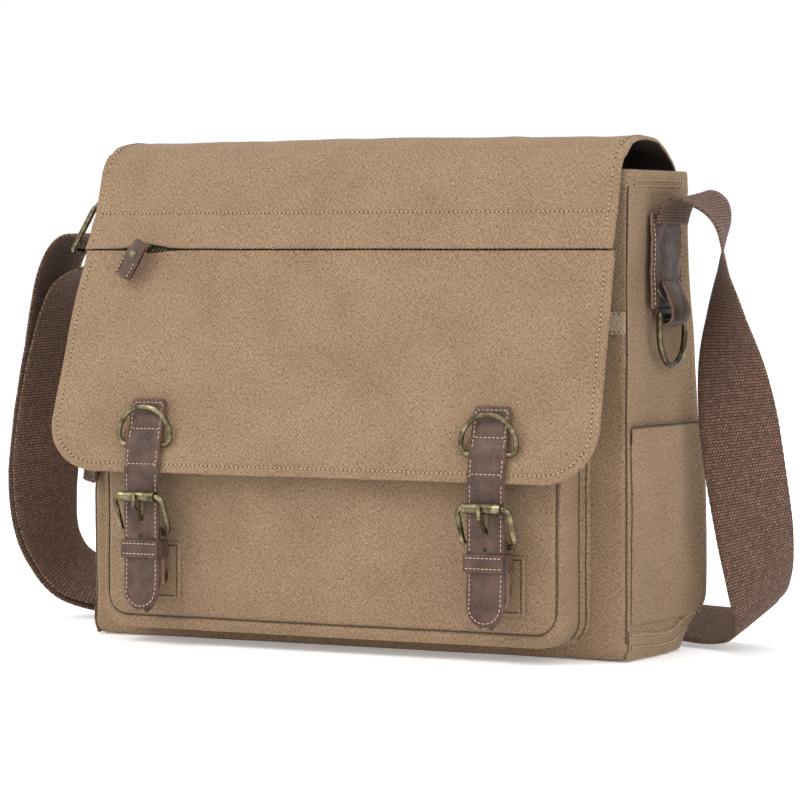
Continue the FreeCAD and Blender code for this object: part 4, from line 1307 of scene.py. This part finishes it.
# ---- side fittings ------------------------------------------------------------------------------
def make_right_anchor():
    """The leather anchor on the right side, with the loop that carries the D-ring."""
    def patch(y, z):
        fold = 1.5 * smoothstep(-15, -18, y)
        crease = 0.9 * ripple(0, y, z, 11, 3.0) + 0.5 * ripple(0, y, z, 5, 7.0)
        return Vector((191.6 + 0.9 * fold + crease, y, z))

    leather_sheet(
        "anchor_patch_right", patch, spread(-21, 29, 2.2, (-18, -15)), spread(214, 273, 2.5), 2.4, "bag",
        ["side_anchor_right"],
    )
    sew([patch(-18.6, z) for z in spread(216, 271, 3)], (1, 0, 0), "bag", 3.0)
    curve = []
    for t in (k / 20 for k in range(21)):
        curve.append(patch(-12 + 36 * t, 226 - 10 * math.sin(math.pi * t) + 6 * t))
    sew([p + Vector((0.2, 0, 0)) for p in curve], (1, 0, 0), "bag", 3.0)
    sew([patch(26, z) for z in spread(216, 271, 3)], (1, 0, 0), "bag", 3.0)
    sew([patch(y, 270.4) for y in spread(-16, 26, 3)], (1, 0, 0), "bag", 3.0)

    loop = [(192.6, 231), (194.8, 226), (197.6, 220), (199.8, 214.5), (200.4, 210), (199.2, 206.4),
            (196.0, 204.9), (192.8, 206.0), (191.2, 209.5), (190.8, 215)]

    def fold_over(y, step):
        x, z = loop[int(step)]
        narrow = 1 - 0.06 * smoothstep(205, 230, z)
        return Vector((x + 0.3 * ripple(0, y, z, 6, 2.0), 4 + (y - 4) * narrow, z))

    leather_sheet(
        "anchor_loop_right", fold_over, spread(-10, 18, 2), range(len(loop)), 2.0, "bag",
        offset=1.0, flip=True,
    )
    sew([fold_over(y, 1) + Vector((1.3, 0, 0.5)) for y in spread(-7, 15, 2)], (0.85, 0, 0.5), "bag")


def make_left_anchor():
    """The leather anchor on the left side, with its tongue over the strap's ring."""
    def patch(y, z):
        crease = 0.8 * ripple(0, y, z, 11, 5.0)
        return Vector((-191.6 - crease, y, z))

    leather_sheet(
        "anchor_patch_left", patch, spread(-21, 29, 2.5), spread(222, 283, 2.5), 2.4, "bag",
        ["side_anchor_left"], flip=True,
    )
    tongue = [(-191.5, 262), (-193.5, 268), (-197.0, 274), (-200.2, 279.5), (-202.6, 282.4), (-205.6, 282.0),
              (-207.8, 279.4), (-207.6, 275.6), (-205.0, 273.4), (-201.6, 272.8), (-197, 270.4)]

    def fold_over(y, step):
        x, z = tongue[int(step)]
        return Vector((x, y, z))

    leather_sheet(
        "anchor_tongue_left", fold_over, spread(-18, 26, 2.5), range(len(tongue)), 1.8, "bag",
    )
    for y in (-18.5, 26.5):
        sew([patch(y, z) for z in spread(224, 281, 3)], (-1, 0, 0), "bag", 3.0)
    sew([patch(y, 224.6) for y in spread(-16, 24, 3)], (-1, 0, 0), "bag", 3.0)


# ---- kept CAD metal and boards ------------------------------------------------------------------
def rounded_metal(node, width):
    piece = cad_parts[node]
    piece.data.materials.clear()
    piece.data.materials.append(MATERIALS["brass"])
    bevel = piece.modifiers.new("soft_edges", "BEVEL")
    bevel.width = width * MM
    bevel.segments = 3
    bevel.limit_method = "ANGLE"
    for polygon in piece.data.polygons:
        polygon.use_smooth = True


def dress_cad_nodes():
    wires = ["closure_ring_", "buckle_frame_", "buckle_roller_", "buckle_prong_", "snap_stud_",
             "snap_socket_"]
    nodes = [name + side for name in wires for side, _ in CLOSURES]
    nodes += ["side_ring_right", "strap_ring", "strap_adjuster", "flap_zip_slider", "front_zip_slider",
              "flap_zip_rivet", "front_zip_rivet"]
    for node in nodes:
        rounded_metal(node, 0.3)
    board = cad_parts["base_board"]
    board.data.materials.clear()
    board.data.materials.append(MATERIALS["board"])


# ---- camera, lights and floor -------------------------------------------------------------------
def make_stage():
    scene = bpy.context.scene
    scene.view_settings.view_transform = "Standard"
    camera_data = bpy.data.cameras.new("camera")
    camera_data.lens = 163.8
    camera_data.sensor_width = 36.0
    camera_data.clip_start = 0.05
    camera = bpy.data.objects.new("camera", camera_data)
    scene.collection.objects.link(camera)
    camera.location = (1.062, -2.066, 0.252)
    azimuth = math.radians(27.0)
    pitch = math.radians(-2.41)
    level = math.cos(pitch)
    forward = Vector((-math.sin(azimuth) * level, math.cos(azimuth) * level, math.sin(pitch)))
    camera.rotation_euler = forward.to_track_quat("-Z", "Y").to_euler()
    scene.camera = camera

    world = bpy.data.worlds.new("studio")
    scene.world = world
    world.use_nodes = True
    background = world.node_tree.nodes["Background"]
    background.inputs["Color"].default_value = (1.0, 1.0, 1.0, 1.0)
    background.inputs["Strength"].default_value = 1.02

    lights = (
        ("key", (-1.1, -1.7, 1.9), 1.3, 26.0), ("fill", (1.9, -1.2, 0.9), 1.6, 13.0),
        ("top", (0.0, 0.3, 2.4), 1.6, 10.0),
    )
    for name, place, size, power in lights:
        data = bpy.data.lights.new(name, "AREA")
        data.energy = power
        data.size = size
        light = bpy.data.objects.new(name, data)
        scene.collection.objects.link(light)
        light.location = place
        light.rotation_euler = (Vector((0, 0, 0.15)) - Vector(place)).to_track_quat("-Z", "Y").to_euler()

    floor_mesh = bpy.data.meshes.new("floor")
    floor_mesh.from_pydata([(-6, -6, 0), (6, -6, 0), (6, 6, 0), (-6, 6, 0)], [], [(0, 1, 2, 3)])
    floor = bpy.data.objects.new("floor", floor_mesh)
    scene.collection.objects.link(floor)
    material, _, principled = shader("pale_floor", 0.9)
    principled.inputs["Base Color"].default_value = (0.95, 0.95, 0.95, 1)
    principled.inputs["Emission Color"].default_value = (1, 1, 1, 1)
    principled.inputs["Emission Strength"].default_value = 0.25
    floor_mesh.materials.append(material)


make_stage()
make_shoulder_strap()
make_body_shell()
make_gusset_details()
make_inside()
make_pocket_panel()
make_pocket_gusset()
make_pocket_seam()
make_flap_cloth()
make_flap_zip()
stitch_flap()
make_closures()
make_pullers()
make_front_zip()
make_right_anchor()
make_left_anchor()
dress_cad_nodes()
for strands in THREADS.values():
    strands.finish()
